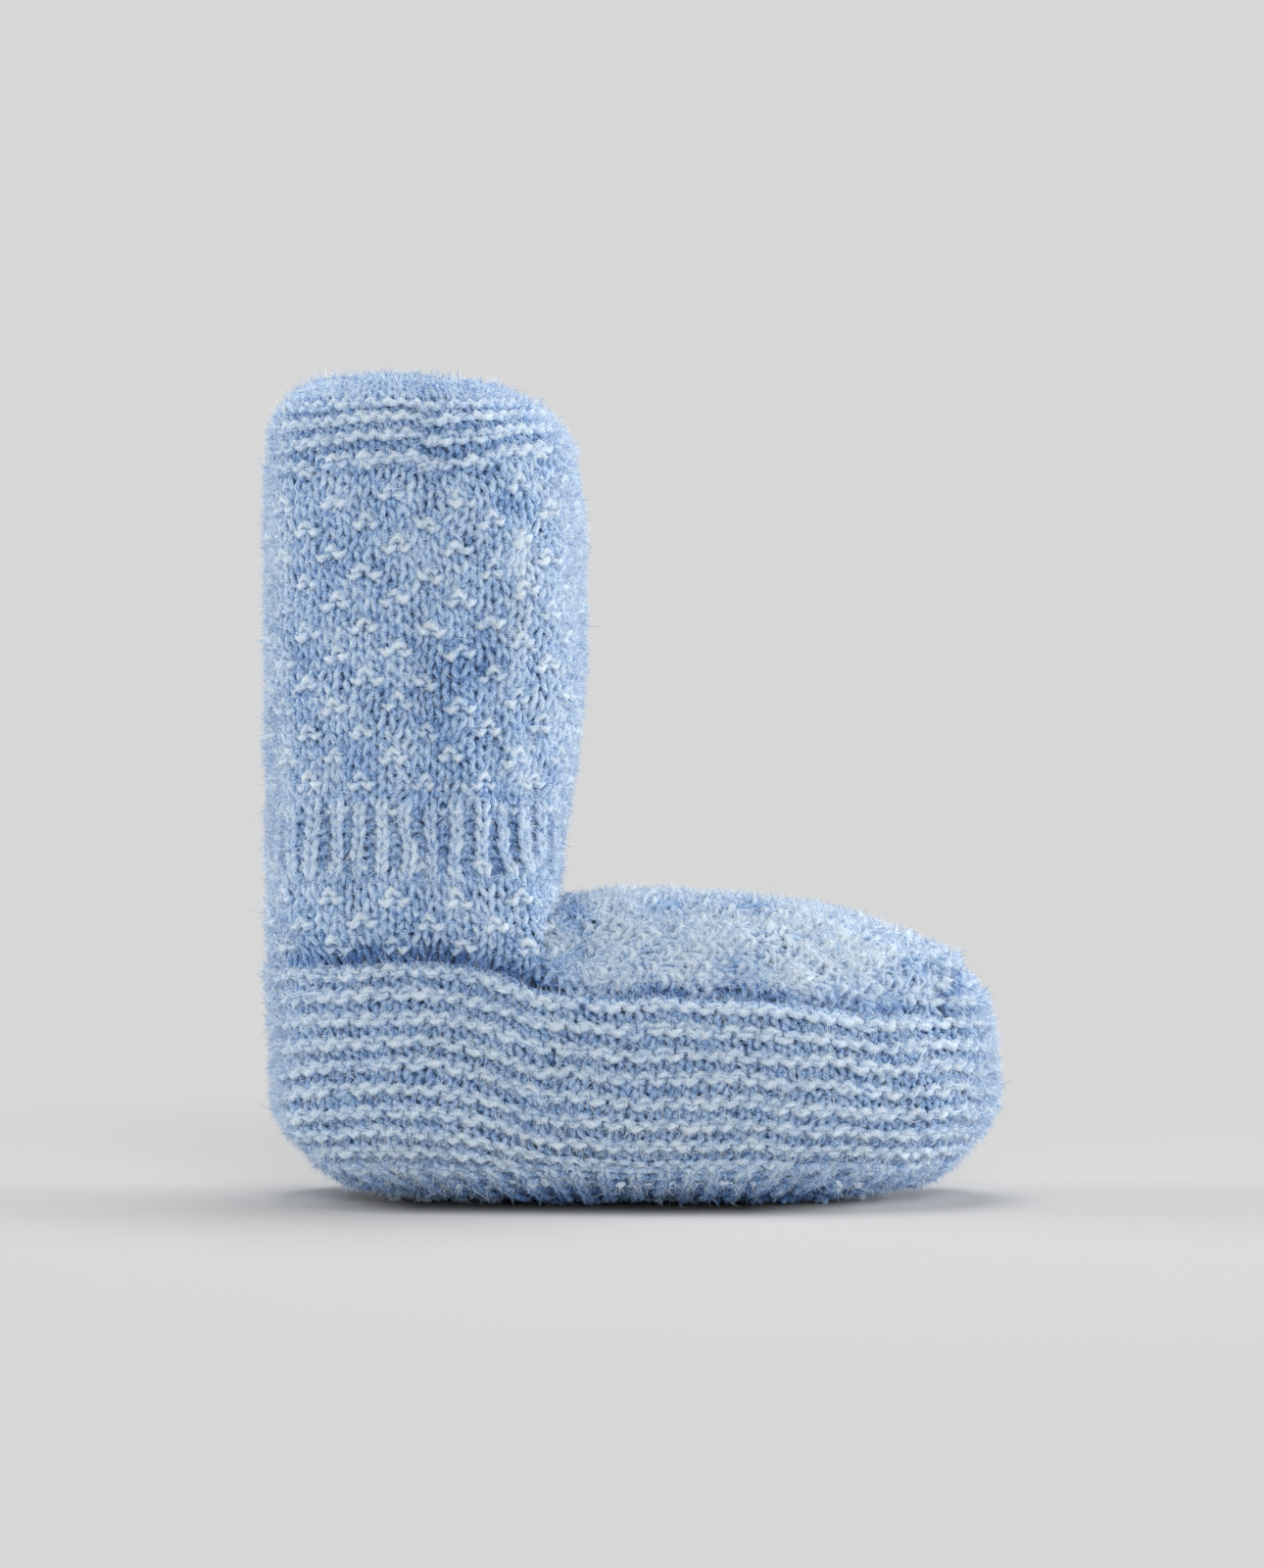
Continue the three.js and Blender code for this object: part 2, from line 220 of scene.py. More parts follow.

# Soft troughs pressed into the knitting: from x, z to x, z, with half width, depth, and how dark the
# shade painted into each trough is.
CREASES = [
    (-33.4, 126, -32.6, 62, 2.4, 0.7, 0.12),
    (-33.5, 85, -29.5, 62, 4, 1.5, 0.28),
    (-24, 92, -19, 55, 2.6, 1.1, 0.15),
    (-16, 80, -13.5, 54, 2, 0.9, 0.15),
    (-50, 74, -45, 52, 3.5, 0.6, 0.1),
    (-9.5, 49, -8.5, 41, 3, 0.8, 0.7),
    (2.5, 48.2, 24, 46.6, 0.8, 1.2, 0.7),
    (36, 45.4, 48, 42.2, 0.7, 1, 0.6),
    (6, 40, 16, 37, 2.5, 0.4, 0.4),
    (-48, 60, -40, 44, 4, 0.5, 0.15),
    (49.8, 31, 52.8, 38, 0.8, 0.8, 1.2),
]

# They show only where the knitting faces to the side, more and more over this range of its normal.
CREASE_FACING = (0.1, 0.4)

# How finely the sheets of knitting are worked out: the grid's lines and columns, points round a ring,
# levels of each hoop, and sections of each panel with the steps across them.
GRID_STEP = 0.8
COLUMNS_PER_STITCH = 4
INSTEP_COLUMNS = 64
SOLE_COLUMNS = 56
RING_ANGLES = np.linspace(0, 2 * PI, 720, endpoint=False)
LEG_LEVELS = 400
BAND_LEVELS = 80
EDGE_LEVELS = 60
INSTEP_SECTIONS = 120
ARCH_STEPS = 60
SOLE_SECTIONS = 160
SOLE_STEPS = 90
HALVINGS = 24

# Nothing comes nearer to the floor than this.
FLOOR_CLEARANCE = 0.02

# The solids that the pieces stand for: material slot and node.
UPPER = ("leg_knit", "upper")
BAND = ("band_knit", "side_band")
SOLE = ("sole_knit", "sole")

# Chance for single stitches, drawn row by row.
CHANCE = np.random.default_rng(21)


def curve_through(rows, column, at):
    """One column of a table, read at any places of its first column along a smooth curve."""
    places, values = rows[:, 0], rows[:, column]
    last = len(places) - 1
    before, after = np.arange(last + 1) - 1, np.arange(last + 1) + 1
    before, after = np.maximum(before, 0), np.minimum(after, last)
    slopes = (values[after] - values[before]) / (places[after] - places[before])
    at = np.clip(at, places[0], places[-1])
    cell = np.clip(np.searchsorted(places, at) - 1, 0, last - 1)
    span = places[cell + 1] - places[cell]
    t = (at - places[cell]) / span
    ease = t * t * (3 - 2 * t)
    bend = slopes[cell] * (t**3 - 2 * t**2 + t) + slopes[cell + 1] * (t**3 - t**2)
    return values[cell] * (1 - ease) + values[cell + 1] * ease + span * bend


def smoothstep(low, high, value):
    """0 up to the low value, 1 from the high one, and a smooth climb between them."""
    t = np.clip((value - low) / (high - low), 0, 1)
    return t * t * (3 - 2 * t)


def bell(distance, width):
    """1 at no distance, falling off smoothly to nearly 0 at twice the width."""
    return np.exp(-((distance / width) ** 2))


def mix(a, b, share):
    return a + (b - a) * share


def wander(points, wavelength, seed):
    """Smooth chance, mostly from -1 to 1, that changes over about the given length."""
    chance = np.random.default_rng(seed)
    total = np.zeros(points.shape[:-1])
    waves = 7
    for _ in range(waves):
        way = chance.normal(size=3)
        way *= 2 * PI / (np.linalg.norm(way) * wavelength * chance.uniform(0.7, 1.5))
        total += np.sin(points @ way + chance.uniform(0, 2 * PI))
    return total * 0.6 / math.sqrt(waves / 2)


def uneven(points, table):
    """Smooth chance of several lengths added up, from a table of how much, length and seed."""
    return sum(amount * wander(points, wavelength, seed) for amount, wavelength, seed in table)


def rim_height(x):
    """Height of the band's rim at places along the foot."""
    return curve_through(RIM, HEIGHT, x) + TOE_RISE * smoothstep(*TOE_CLIMB, x)


def half_width(x):
    """Half width of the foot at its widest line, at places along it."""
    return mix(HEEL_HALF_WIDTH, BALL_HALF_WIDTH, smoothstep(WIDEN_START, WIDEN_END, x))


def rounded_oblong(angle, front, back):
    """Both coordinates of a rounded oblong at an angle, each from -1 to 1."""
    power = 2 / np.where(np.cos(angle) > 0, front, back)
    along = np.sign(np.cos(angle)) * np.abs(np.cos(angle)) ** power
    across = np.sign(np.sin(angle)) * np.abs(np.sin(angle)) ** power
    return along, across


def turn_under(z):
    """How far the foot has turned under at a height, as a share of its reach on the floor."""
    drop = np.clip((TURN_HEIGHT - z) / TURN_HEIGHT, 0, 1)
    return 1 - (1 - drop**TURN_ROUNDNESS) ** (1 / TURN_ROUNDNESS)


def foot_point(angle, z, lean_share):
    """A point of the foot's outside at a height. The lean share is 0 at the widest line, 1 at the rim."""
    along, across = rounded_oblong(angle, TOE_ROUNDNESS, HEEL_ROUNDNESS)
    turn = turn_under(z)
    lean = np.maximum(0, lean_share) ** LEAN_POWER
    toe = TURN_REACH_END * turn + RIM_LEAN_TOE * lean
    heel = TURN_REACH_END * turn + RIM_LEAN_HEEL * lean
    side = TURN_REACH_SIDE * turn + RIM_LEAN_SIDE * lean
    reach = HALF_LENGTH - np.where(along > 0, toe, heel)
    x = MIDDLE_X + along * reach
    half = half_width(MIDDLE_X + along * (reach + side)) - side
    return np.stack([x, across * half, z + 0 * x], axis=-1)


# The leg's knitting stops where it goes this deep in under the instep, from this far back in the leg on.
HIDDEN_DEPTH = 0.3
HIDDEN_BACK = 2.5


def instep_arch(x):
    """Half width, foot, rise and pinch of the instep's arch at places along the foot."""
    share = np.clip((x - MIDDLE_X) / (INSTEP_END - MIDDLE_X), 0, 0.999)
    taper = (1 - share**TOE_ROUNDNESS) ** (1 / TOE_ROUNDNESS)
    half = (half_width(x) - RIM_LEAN_SIDE - INSTEP_TUCK) * taper
    base = rim_height(x) - INSTEP_SPRING
    rise = np.maximum(INSTEP_LEAST_RISE, curve_through(CREST, HEIGHT, x) - base)
    pinch = 1 + ANKLE_PINCH * (1 - smoothstep(ANKLE_X, ANKLE_X + PINCH_REACH, x))
    return half, base, rise, pinch


def under_instep(points):
    """Whether points lie under the instep's arch, out in front of the leg's side."""
    half, base, rise, pinch = instep_arch(points[..., 0])
    across = np.clip(np.abs(points[..., 1]) / half, 0, 1) ** (1 / pinch)
    top = base + rise * np.sqrt(1 - across**2)
    ahead = points[..., 0] > ANKLE_X - HIDDEN_BACK
    return ahead & (np.abs(points[..., 1]) < half) & (points[..., 2] < top - HIDDEN_DEPTH)


def above_rim(points):
    """How far points lie above the band's rim, measured square to it."""
    x = points[..., 0]
    slope = rim_height(x + 0.5) - rim_height(x - 0.5)
    return (points[..., 2] - rim_height(x)) / np.sqrt(1 + slope**2)


def level(points):
    """No shade and no lean anywhere."""
    return 0


def rim_painted_shade(points):
    """Painted shade in the crease along the band's rim."""
    side, gap = smoothstep(*RIM_FADE_PLACES, points[..., 0]), above_rim(points)
    line = RIM_LINE_DARK * bell(gap - RIM_LINE_HEIGHT, RIM_LINE_WIDTH)
    return -side * (line + RIM_SHADE_DARK * bell(gap, RIM_SHADE_WIDTH))


def underside_painted_shade(points):
    """Painted shade, darker down towards the floor."""
    return -UNDERSIDE_DARK * (1 - smoothstep(*UNDERSIDE_HEIGHTS, points[..., 2]))


def panel_painted_shade(points):
    """Painted shade at the long sides of the sole's panel, where the edge meets it."""
    return -PANEL_SIDE_DARK * smoothstep(*PANEL_SIDE_PLACES, np.abs(points[..., 1]))


def instep_shade(points):
    """Long paler and darker streaks of tone that run towards the toe, with the painted shade of the
    crease along the band.
    """
    return rim_painted_shade(points) + uneven(points * STREAK_SHAPE, INSTEP_STREAKS)


def leg_shade(points):
    """Broad paler and darker patches of tone down the leg, with the painted shade of the crease along the
    band.
    """
    return rim_painted_shade(points) + uneven(points, LEG_PATCHES)


def leaning(points):
    """How far the leg's rows climb at its points."""
    x, z = points[..., 0], points[..., 2]
    climb = mix(HEEL_CLIMB, SHIN_CLIMB, smoothstep(*CLIMB_PLACES, x)) * (x - CLIMB_CENTRE_X)
    climb = climb - SEAM_STEP * (smoothstep(*SEAM_PLACES, x) - 0.5)
    return climb * smoothstep(*CLIMB_GROWS, z) * (1 - smoothstep(*CLIMB_FADES, z))


def crease(points, normals):
    """Depth of the troughs at points of the knitting, and their painted shade, on both of the bootie's
    sides.
    """
    depth, dark = np.zeros(points.shape[:-1]), np.zeros(points.shape[:-1])
    plane = points[..., [0, 2]]
    for x1, z1, x2, z2, half, deep, shade in CREASES:
        start, way = np.array([x1, z1]), np.array([x2 - x1, z2 - z1])
        share = np.clip(((plane - start) @ way) / (way @ way), 0, 1)
        near = bell(np.linalg.norm(plane - start - share[..., None] * way, axis=-1), half)
        depth += deep * near
        dark += shade * near
    facing = smoothstep(*CREASE_FACING, normals[..., 1] * np.sign(points[..., 1]))
    return depth * facing, dark * facing


def length_along(points):
    """Length run so far at each point of a line, or of each column of a grid."""
    steps = np.linalg.norm(np.diff(points, axis=0), axis=-1)
    return np.concatenate([np.zeros((1,) + steps.shape[1:]), np.cumsum(steps, axis=0)])


def respace(line, lengths, at):
    """Points of a line at given lengths along it."""
    return np.stack([np.interp(at, lengths, line[:, axis]) for axis in range(3)], axis=-1)


def even_rings(rings, count):
    """Rings of points spaced evenly round, with the first point again at the end."""
    spaced = []
    for ring in rings:
        ring = np.concatenate([ring, ring[:1]])
        lengths = length_along(ring)
        spaced.append(respace(ring, lengths, np.linspace(0, lengths[-1], count + 1)))
    return np.array(spaced)


class Fabric:
    """A sheet of knitting as a fine grid of points. Its share runs along the rows, from 0 to 1,
    and its rise goes from row to row in millimetres. The grid's lines are rise_step apart."""

    def __init__(self, grid, rise_step, closed, outward, depth):
        self.closed, self.rise_step = closed, rise_step
        normals = self.find_normals(grid, outward)
        relief = uneven(grid, SWELLS) - crease(grid, normals)[0]
        grid = grid + normals * (relief - depth)[..., None]
        self.grid, self.normals = grid, self.find_normals(grid, outward)
        self.lengths = np.linalg.norm(np.diff(grid, axis=1), axis=-1).sum(axis=1)

    def find_normals(self, grid, outward):
        """The grid's normals, turned to the outside by the sign of outward."""
        if self.closed:
            ahead = np.concatenate([grid[:, 1:], grid[:, 1:2]], axis=1)
            behind = np.concatenate([grid[:, -2:-1], grid[:, :-1]], axis=1)
            along = ahead - behind
        else:
            along = np.gradient(grid, axis=1)
        normals = np.cross(along, np.gradient(grid, axis=0)) * outward
        return normals / (np.linalg.norm(normals, axis=-1, keepdims=True) + 1e-9)

    def at(self, share, rise):
        """Points and normals of the sheet."""
        rows, columns = self.grid.shape[0] - 1, self.grid.shape[1] - 1
        share = share % 1 if self.closed else np.clip(share, 0, 1)
        u = share * columns
        v = np.clip(rise / self.rise_step, 0, rows)
        i, j = np.minimum(u.astype(int), columns - 1), np.minimum(v.astype(int), rows - 1)
        a, b = (u - i)[..., None], (v - j)[..., None]
        found = []
        for field in (self.grid, self.normals):
            low = field[j, i] * (1 - a) + field[j, i + 1] * a
            high = field[j + 1, i] * (1 - a) + field[j + 1, i + 1] * a
            found.append(low * (1 - b) + high * b)
        return found[0], found[1] / np.linalg.norm(found[1], axis=-1, keepdims=True)


def leg_ring(section):
    """The leg's outline as a ring of points, from a row of its table."""
    height, back, front, half, heel_round, shin_round, dip = section
    along, across = rounded_oblong(RING_ANGLES, shin_round, heel_round)
    x = (front + back) / 2 + along * (front - back) / 2
    return np.stack([x, across * half, height - dip * np.maximum(0, along) ** 2], axis=-1)


def leg_fabric():
    """The leg as a tube, from inside the band's rim to the collar's edge, and the rise at heights."""
    heights = np.linspace(LEG_FOOT, LEG[-1, LEVEL], LEG_LEVELS)
    side = np.stack([curve_through(LEG, HALF_WIDTH, heights), 0 * heights, heights], axis=-1)
    rises = length_along(side)
    rings = []
    for height in np.interp(np.arange(0, rises[-1], GRID_STEP), rises, heights):
        section = [height] + [curve_through(LEG, column, height) for column in range(BACK, DIP + 1)]
        rings.append(leg_ring(section))
    fold = np.concatenate([LEG[-1:], COLLAR])
    fold_rises = length_along(fold[:, [LEVEL, FRONT]])
    for at in np.arange(GRID_STEP, fold_rises[-1], GRID_STEP):
        rings.append(leg_ring([np.interp(at, fold_rises, values) for values in fold.T]))
    grid = even_rings(rings, COLUMNS_PER_STITCH * LEG_STITCHES)
    grid[..., 2] -= COLLAR_DROP * smoothstep(*COLLAR_DROP_HEIGHTS, grid[..., 2])
    above = grid[..., 2] - rim_height(grid[..., 0])
    tuck = LEG_TUCK * bell(above, LEG_TUCK_REACH)
    tuck -= LEG_SWELL * bell(above - LEG_SWELL_HEIGHT, LEG_SWELL_REACH)
    tuck *= mix(HEEL_TUCK_SHARE, 1, smoothstep(*HEEL_TUCK_PLACES, grid[..., 0]))
    way = grid - LEG_CENTRE
    way[..., 2] = 0
    way /= np.linalg.norm(way, axis=-1, keepdims=True)
    fabric = Fabric(grid - way * tuck[..., None], GRID_STEP, True, 1, LEG_DEPTH)
    return fabric, lambda z: np.interp(z, heights, rises)


# Past its rim the band's sheet leans in over this height, to these shares of its length and width. At its
# foot it goes in behind the sole's edge.
LIP_HEIGHT = 3
LIP_LENGTH_SHARE = 0.93
LIP_WIDTH_SHARE = 0.9
BAND_FOOT = SOLE_EDGE - 1.6

# Round the toe the top of the band is pulled back and down, between these places and heights.
TOE_PULL = np.array([1.7, 0, 0.4])
TOE_PULL_PLACES = (44, 54)
TOE_PULL_HEIGHTS = (32, 39.6)

# Rows run on past the rim by this much, and by more round the toe.
ROW_RUN_ON = 0.8
TOE_RUN_ON = 1.6
TOE_RUN_ON_PLACES = (48, 51)


def band_fabric():
    """The band as a hoop that rises downwards, to where it turns under to the sole, with the
    reach of its rows round it. Rise 0 is the rim, except round the toe, where it keeps level
    and the rim climbs above it."""
    rim = foot_point(RING_ANGLES, TURN_HEIGHT, 1)
    rim_z = rim_height(rim[:, 0])
    lip_x = MIDDLE_X + (rim[:, 0] - MIDDLE_X) * LIP_LENGTH_SHARE
    rings = [np.stack([lip_x, rim[:, 1] * LIP_WIDTH_SHARE, rim_z + LIP_HEIGHT], axis=-1)]
    for share in np.linspace(1, 0, BAND_LEVELS):
        z = mix(BAND_FOOT, rim_z, share)
        rings.append(foot_point(RING_ANGLES, z, (z - TURN_HEIGHT) / (rim_z - TURN_HEIGHT)))
    columns = even_rings(rings, COLUMNS_PER_STITCH * BAND_STITCHES)
    lengths = length_along(columns)
    rim_x = columns[1, :, 0]
    rim_level = curve_through(RIM, HEIGHT, rim_x)
    count = columns.shape[1]
    above = np.array([np.interp(-rim_level[c], -columns[:, c, 2], lengths[:, c]) for c in range(count)])
    steps = np.arange(-above.max(), (lengths[-1] - above).max(), GRID_STEP)
    grid = np.empty((len(steps), count, 3))
    for c in range(count):
        grid[:, c] = respace(columns[:, c], lengths[:, c], np.clip(steps + above[c], 0, lengths[-1, c]))
    toe = smoothstep(*TOE_PULL_PLACES, grid[..., 0]) * smoothstep(*TOE_PULL_HEIGHTS, grid[..., 2])
    grid -= toe[..., None] * TOE_PULL
    past = ROW_RUN_ON + TOE_RUN_ON * smoothstep(*TOE_RUN_ON_PLACES, rim_x)
    reach = {"start": lengths[1] - above - past, "end": lengths[-1] - above, "base": above.max()}
    return Fabric(grid, GRID_STEP, True, -1, BAND_DEPTH), reach


def panel_grid(sections, spine, columns):
    """Sections of a panel, spaced evenly across, and evenly along a spine down their middle."""
    across = []
    for section in sections:
        lengths = length_along(section)
        across.append(respace(section, lengths, np.linspace(0, lengths[-1], columns + 1)))
    across = np.array(across)
    lengths = length_along(spine)
    steps = np.arange(0, lengths[-1], GRID_STEP)
    places = np.interp(steps, lengths, np.arange(len(spine)))
    low = np.minimum(places.astype(int), len(spine) - 2)
    part = (places - low)[:, None, None]
    return across[low] * (1 - part) + across[low + 1] * part


# Low on its sides the instep's arch is drawn in by this share of its width, most at this height. Below it
# a skirt goes down behind the band's rim, at this share of the width.
ARCH_TUCK = 0.045
ARCH_TUCK_HEIGHT = 1
ARCH_TUCK_REACH = 2.2
SKIRT_WIDTH_SHARE = 0.94
SKIRT_DROP = 3


def instep_fabric():
    """The instep as an arched panel, from inside the leg's front to the toe."""
    sections = []
    turns = np.linspace(0, PI, ARCH_STEPS)
    start, end = ANKLE_X - 3, INSTEP_END - 0.05
    for x in np.linspace(start, end, INSTEP_SECTIONS):
        half, base, rise, pinch = instep_arch(np.array(x))
        across = -np.sign(np.cos(turns)) * np.abs(np.cos(turns)) ** pinch
        arch = np.stack([0 * turns + x, half * across, base + rise * np.sin(turns)], axis=-1)
        arch[:, 1] *= 1 - ARCH_TUCK * bell(arch[:, 2] - base - ARCH_TUCK_HEIGHT, ARCH_TUCK_REACH)
        skirts = [[x, side * half * SKIRT_WIDTH_SHARE, base - SKIRT_DROP] for side in (-1, 1)]
        sections.append(np.concatenate([skirts[:1], arch, skirts[1:]]))
    spine = np.array([section[len(section) // 2] for section in sections])
    return Fabric(panel_grid(sections, spine, INSTEP_COLUMNS), GRID_STEP, False, -1, INSTEP_DEPTH)


# The sole's edge starts this far up inside the band, and ends under the foot at this height.
EDGE_LAP = 1.4
EDGE_FOOT = 0.12


def edge_fabric():
    """The sole's edge as a hoop that rises downwards, from the band in under the foot."""
    levels = np.linspace(SOLE_EDGE + EDGE_LAP, EDGE_FOOT, EDGE_LEVELS)
    rings = [foot_point(RING_ANGLES, z, 0) for z in levels]
    grid = even_rings(rings, COLUMNS_PER_STITCH * EDGE_STITCHES)
    lengths = length_along(grid)
    rise_step = GRID_STEP / 2
    steps = np.arange(0, lengths[-1].min(), rise_step)
    columns = [respace(grid[:, column], lengths[:, column], steps) for column in range(grid.shape[1])]
    return Fabric(np.stack(columns, axis=1), rise_step, True, -1, EDGE_DEPTH)


def sole_height(x, y):
    """Height of the sole's outside, which turns up all round, found by halving."""
    low, high = np.zeros_like(y), np.full_like(y, SOLE_EDGE + 0.6)
    for _ in range(HALVINGS):
        z = (low + high) / 2
        turn = turn_under(z)
        reach = HALF_LENGTH - TURN_REACH_END * turn
        side = TURN_REACH_SIDE * turn
        along = np.clip(np.abs(x - MIDDLE_X) / reach, 0, 1)
        roundness = np.where(x > MIDDLE_X, TOE_ROUNDNESS, HEEL_ROUNDNESS)
        half = (half_width(MIDDLE_X + (x - MIDDLE_X) / reach * (reach + side)) - side)
        edge = half * (1 - along**roundness) ** (1 / roundness)
        outside = (np.abs(y) > edge) | (np.abs(x - MIDDLE_X) >= reach)
        low, high = np.where(outside, z, low), np.where(outside, high, z)
    return high


def sole_fabric():
    """The sole as a shallow dished panel, with rows across the foot."""
    sections = []
    reach = HALF_LENGTH - TURN_REACH_END * turn_under(PANEL_END_HEIGHT)
    side = TURN_REACH_SIDE * turn_under(PANEL_SIDE_HEIGHT)
    margin = 0.4
    for x in np.linspace(MIDDLE_X - reach + margin, MIDDLE_X + reach - margin, SOLE_SECTIONS):
        roundness = TOE_ROUNDNESS if x > MIDDLE_X else HEEL_ROUNDNESS
        along = abs(x - MIDDLE_X) / reach
        half = (half_width(x) - side) * (1 - along**roundness) ** (1 / roundness)
        y = np.linspace(-half, half, SOLE_STEPS)
        sections.append(np.stack([x + 0 * y, y, sole_height(x + 0 * y, y)], axis=-1))
    middles = [section[len(section) // 2] for section in sections]
    spine = np.array([[middle[0], 0, middle[2]] for middle in middles])
    return Fabric(panel_grid(sections, spine, SOLE_COLUMNS), GRID_STEP, False, 1, SOLE_DEPTH)


# Charts of the knitting. Each says which stitches show as knit, 1, and which as purl, -1.
def flecked(column, row):
    """Purl flecks on a knit ground, every fourth stitch and every other row, half dropped."""
    fleck = (row % 2 == 0) & ((column + 2 * ((row // 2) % 2)) % 4 == 0)
    return np.where(fleck, -1.0, 1.0)


def garter(column, row):
    return np.where((row + 0 * column) % 2 == 0, 1.0, -1.0)


def mossy(column, row):
    """Moss stitch: knit and purl by turns along the row, and swapped every second row."""
    return np.where((column + row // 2) % 2 == 0, 1.0, -1.0)


def ribbed(column, row):
    return np.where((column + 0 * row) % 2 == 0, 1.0, -1.0)


def plain(column, row):
    return np.ones_like(column, float)


def knitting(chart, relief=1.0, bump=0.25, puff=0.16, tall=0.0, wale=0.0, ridge=0.0, spread=0.2,
             paler=0.0, tone=0.0, shade=level, lean=level):
    """How a piece is knitted. Relief is the depth of its loops. Bump, puff and tall say how far its purl
    stitches stand out, swell and reach up, and spread how far they reach over the knit ones, or the knit
    ones over them where it is below 0. Wale and ridge are how far ribs and garter ridges stand out.
    Paler is for purl stitches and tone for all of them. Shade and lean change from place to place;
    shade holds painted shade in creases and towards the floor, with streaks of tone."""
    return {"chart": chart, "relief": relief, "bump": bump, "puff": puff, "tall": tall, "wale": wale,
            "ridge": ridge, "spread": spread, "paler": paler, "tone": tone, "shade": shade, "lean": lean}


FLECKS = knitting(flecked, bump=0.8, puff=0.5, tall=1.0, spread=0.4, paler=0.85, tone=-0.25,
                  shade=leg_shade, lean=leaning)
# The ankle rib's lower tone is painted shade, for the hollow of the ankle.
ANKLE_RIB = knitting(ribbed, bump=0, wale=0.5, spread=-0.12, tone=-0.35)
CUFF_GARTER = knitting(garter, ridge=0.45, tone=-0.3, lean=leaning)
COLLAR_EDGE = knitting(plain, tone=-0.2)
COLLAR_BACK = knitting(garter)
BAND_GARTER = knitting(garter, ridge=0.45, tone=-0.1)
# The instep's higher tone is painted light, for the instep that faces up towards the lights.
INSTEP_MOSS = knitting(mossy, bump=0.16, spread=0.12, tone=0.5, shade=instep_shade)
EDGE_RIB = knitting(ribbed, relief=0.35, bump=0, puff=0, wale=0.5, spread=-0.15, shade=underside_painted_shade)
SOLE_GARTER = knitting(garter, ridge=0.2, shade=panel_painted_shade)


class Strands:
    """Strands of yarn gathered for one piece, with what their finish and their nap need to know."""

    def __init__(self):
        self.points, self.faces, self.caps, self.lift, self.fibre, self.roots = [], [], [], [], [], []
        self.count = 0

    def add(self, centre, normals, lift, thick, ring):
        """One strand as a tube along its centre line, of a given share of the yarn's thickness."""
        if ring:
            tangent = np.roll(centre, -1, axis=0) - np.roll(centre, 1, axis=0)
        else:
            tangent = np.gradient(centre, axis=0)
        tangent /= np.linalg.norm(tangent, axis=1, keepdims=True)
        up = normals - (normals * tangent).sum(axis=1, keepdims=True) * tangent
        up /= np.linalg.norm(up, axis=1, keepdims=True)
        side = np.cross(tangent, up)
        run = length_along(centre)[:, None]
        radius = (YARN_RADIUS * thick * (1 + uneven(centre, YARN_THICKNESS)))[:, None]
        turn = np.linspace(0, 2 * PI, STRAND_SIDES, endpoint=False)[None, :]
        round_way = np.cos(turn)[..., None] * up[:, None] + np.sin(turn)[..., None] * side[:, None]
        twist = turn + PLY_TWIST * run
        count = len(centre)
        at = self.count + np.arange(count * STRAND_SIDES).reshape(count, STRAND_SIDES)
        now, ahead = (at, np.roll(at, -1, axis=0)) if ring else (at[:-1], at[1:])
        quads = np.stack([now, np.roll(now, -1, axis=1), np.roll(ahead, -1, axis=1), ahead], axis=-1)
        self.faces.append(quads.reshape(-1, 4))
        if not ring:
            self.caps += [at[0][::-1].copy(), at[-1].copy()]
        self.points.append((centre[:, None] + radius[..., None] * round_way).reshape(-1, 3))
        self.lift.append((lift[:, None] + radius * np.cos(turn)).ravel())
        fibre = np.stack([run + 0 * twist, radius * np.cos(twist), radius * np.sin(twist)], axis=-1)
        self.fibre.append(fibre.reshape(-1, 3))
        self.roots.append(np.concatenate([centre, normals, tangent, lift[:, None]], axis=1))
        self.count += count * STRAND_SIDES


def runs(kept):
    """Unbroken runs of kept stitches round a hoop: first stitch, count, and whether it goes all round."""
    count = len(kept)
    if kept.all():
        return [(0, count, True)]
    first = int(np.argmin(kept))
    found, start = [], None
    for step in range(1, count + 1):
        here = kept[(first + step) % count]
        if here and start is None:
            start = first + step
        if not here and start is not None:
            found.append((start, first + step - start, False))
            start = None
    return found


def chance_round(count, ring, size):
    """A chance value for each stitch of a row. Round a hoop the last two are the first two."""
    values = CHANCE.normal(size=count) * size
    if ring:
        values[-2:] = values[:2]
    return values


# A stitch is knit or purl this far to either side of its middle. Between its foot and its head a loop
# goes over to what the stitch above it is. A purl bump is fuller at the loop's head than at its foot. The
# strands are this share of the yarn's thickness.
SIGN_HOLD = 0.3
SIGN_CHANGE = (-0.45, 0.45)
HEAD_BUMP = 1.15
FOOT_BUMP = 0.5
THICKNESS = 1.04

# At toe and heel, where the knitting faces along the foot, it is matted: its loops lie flatter. Its
# tone is drawn half way to this pale one there, as painted sheen for the pale fuzz seen edge-on.
MATTED_AND_SHEEN_FACING = (0.5, 1)
MATTED_FLATTER = 0.4
ENDS_PAINTED_SHEEN_TONE = 1.2


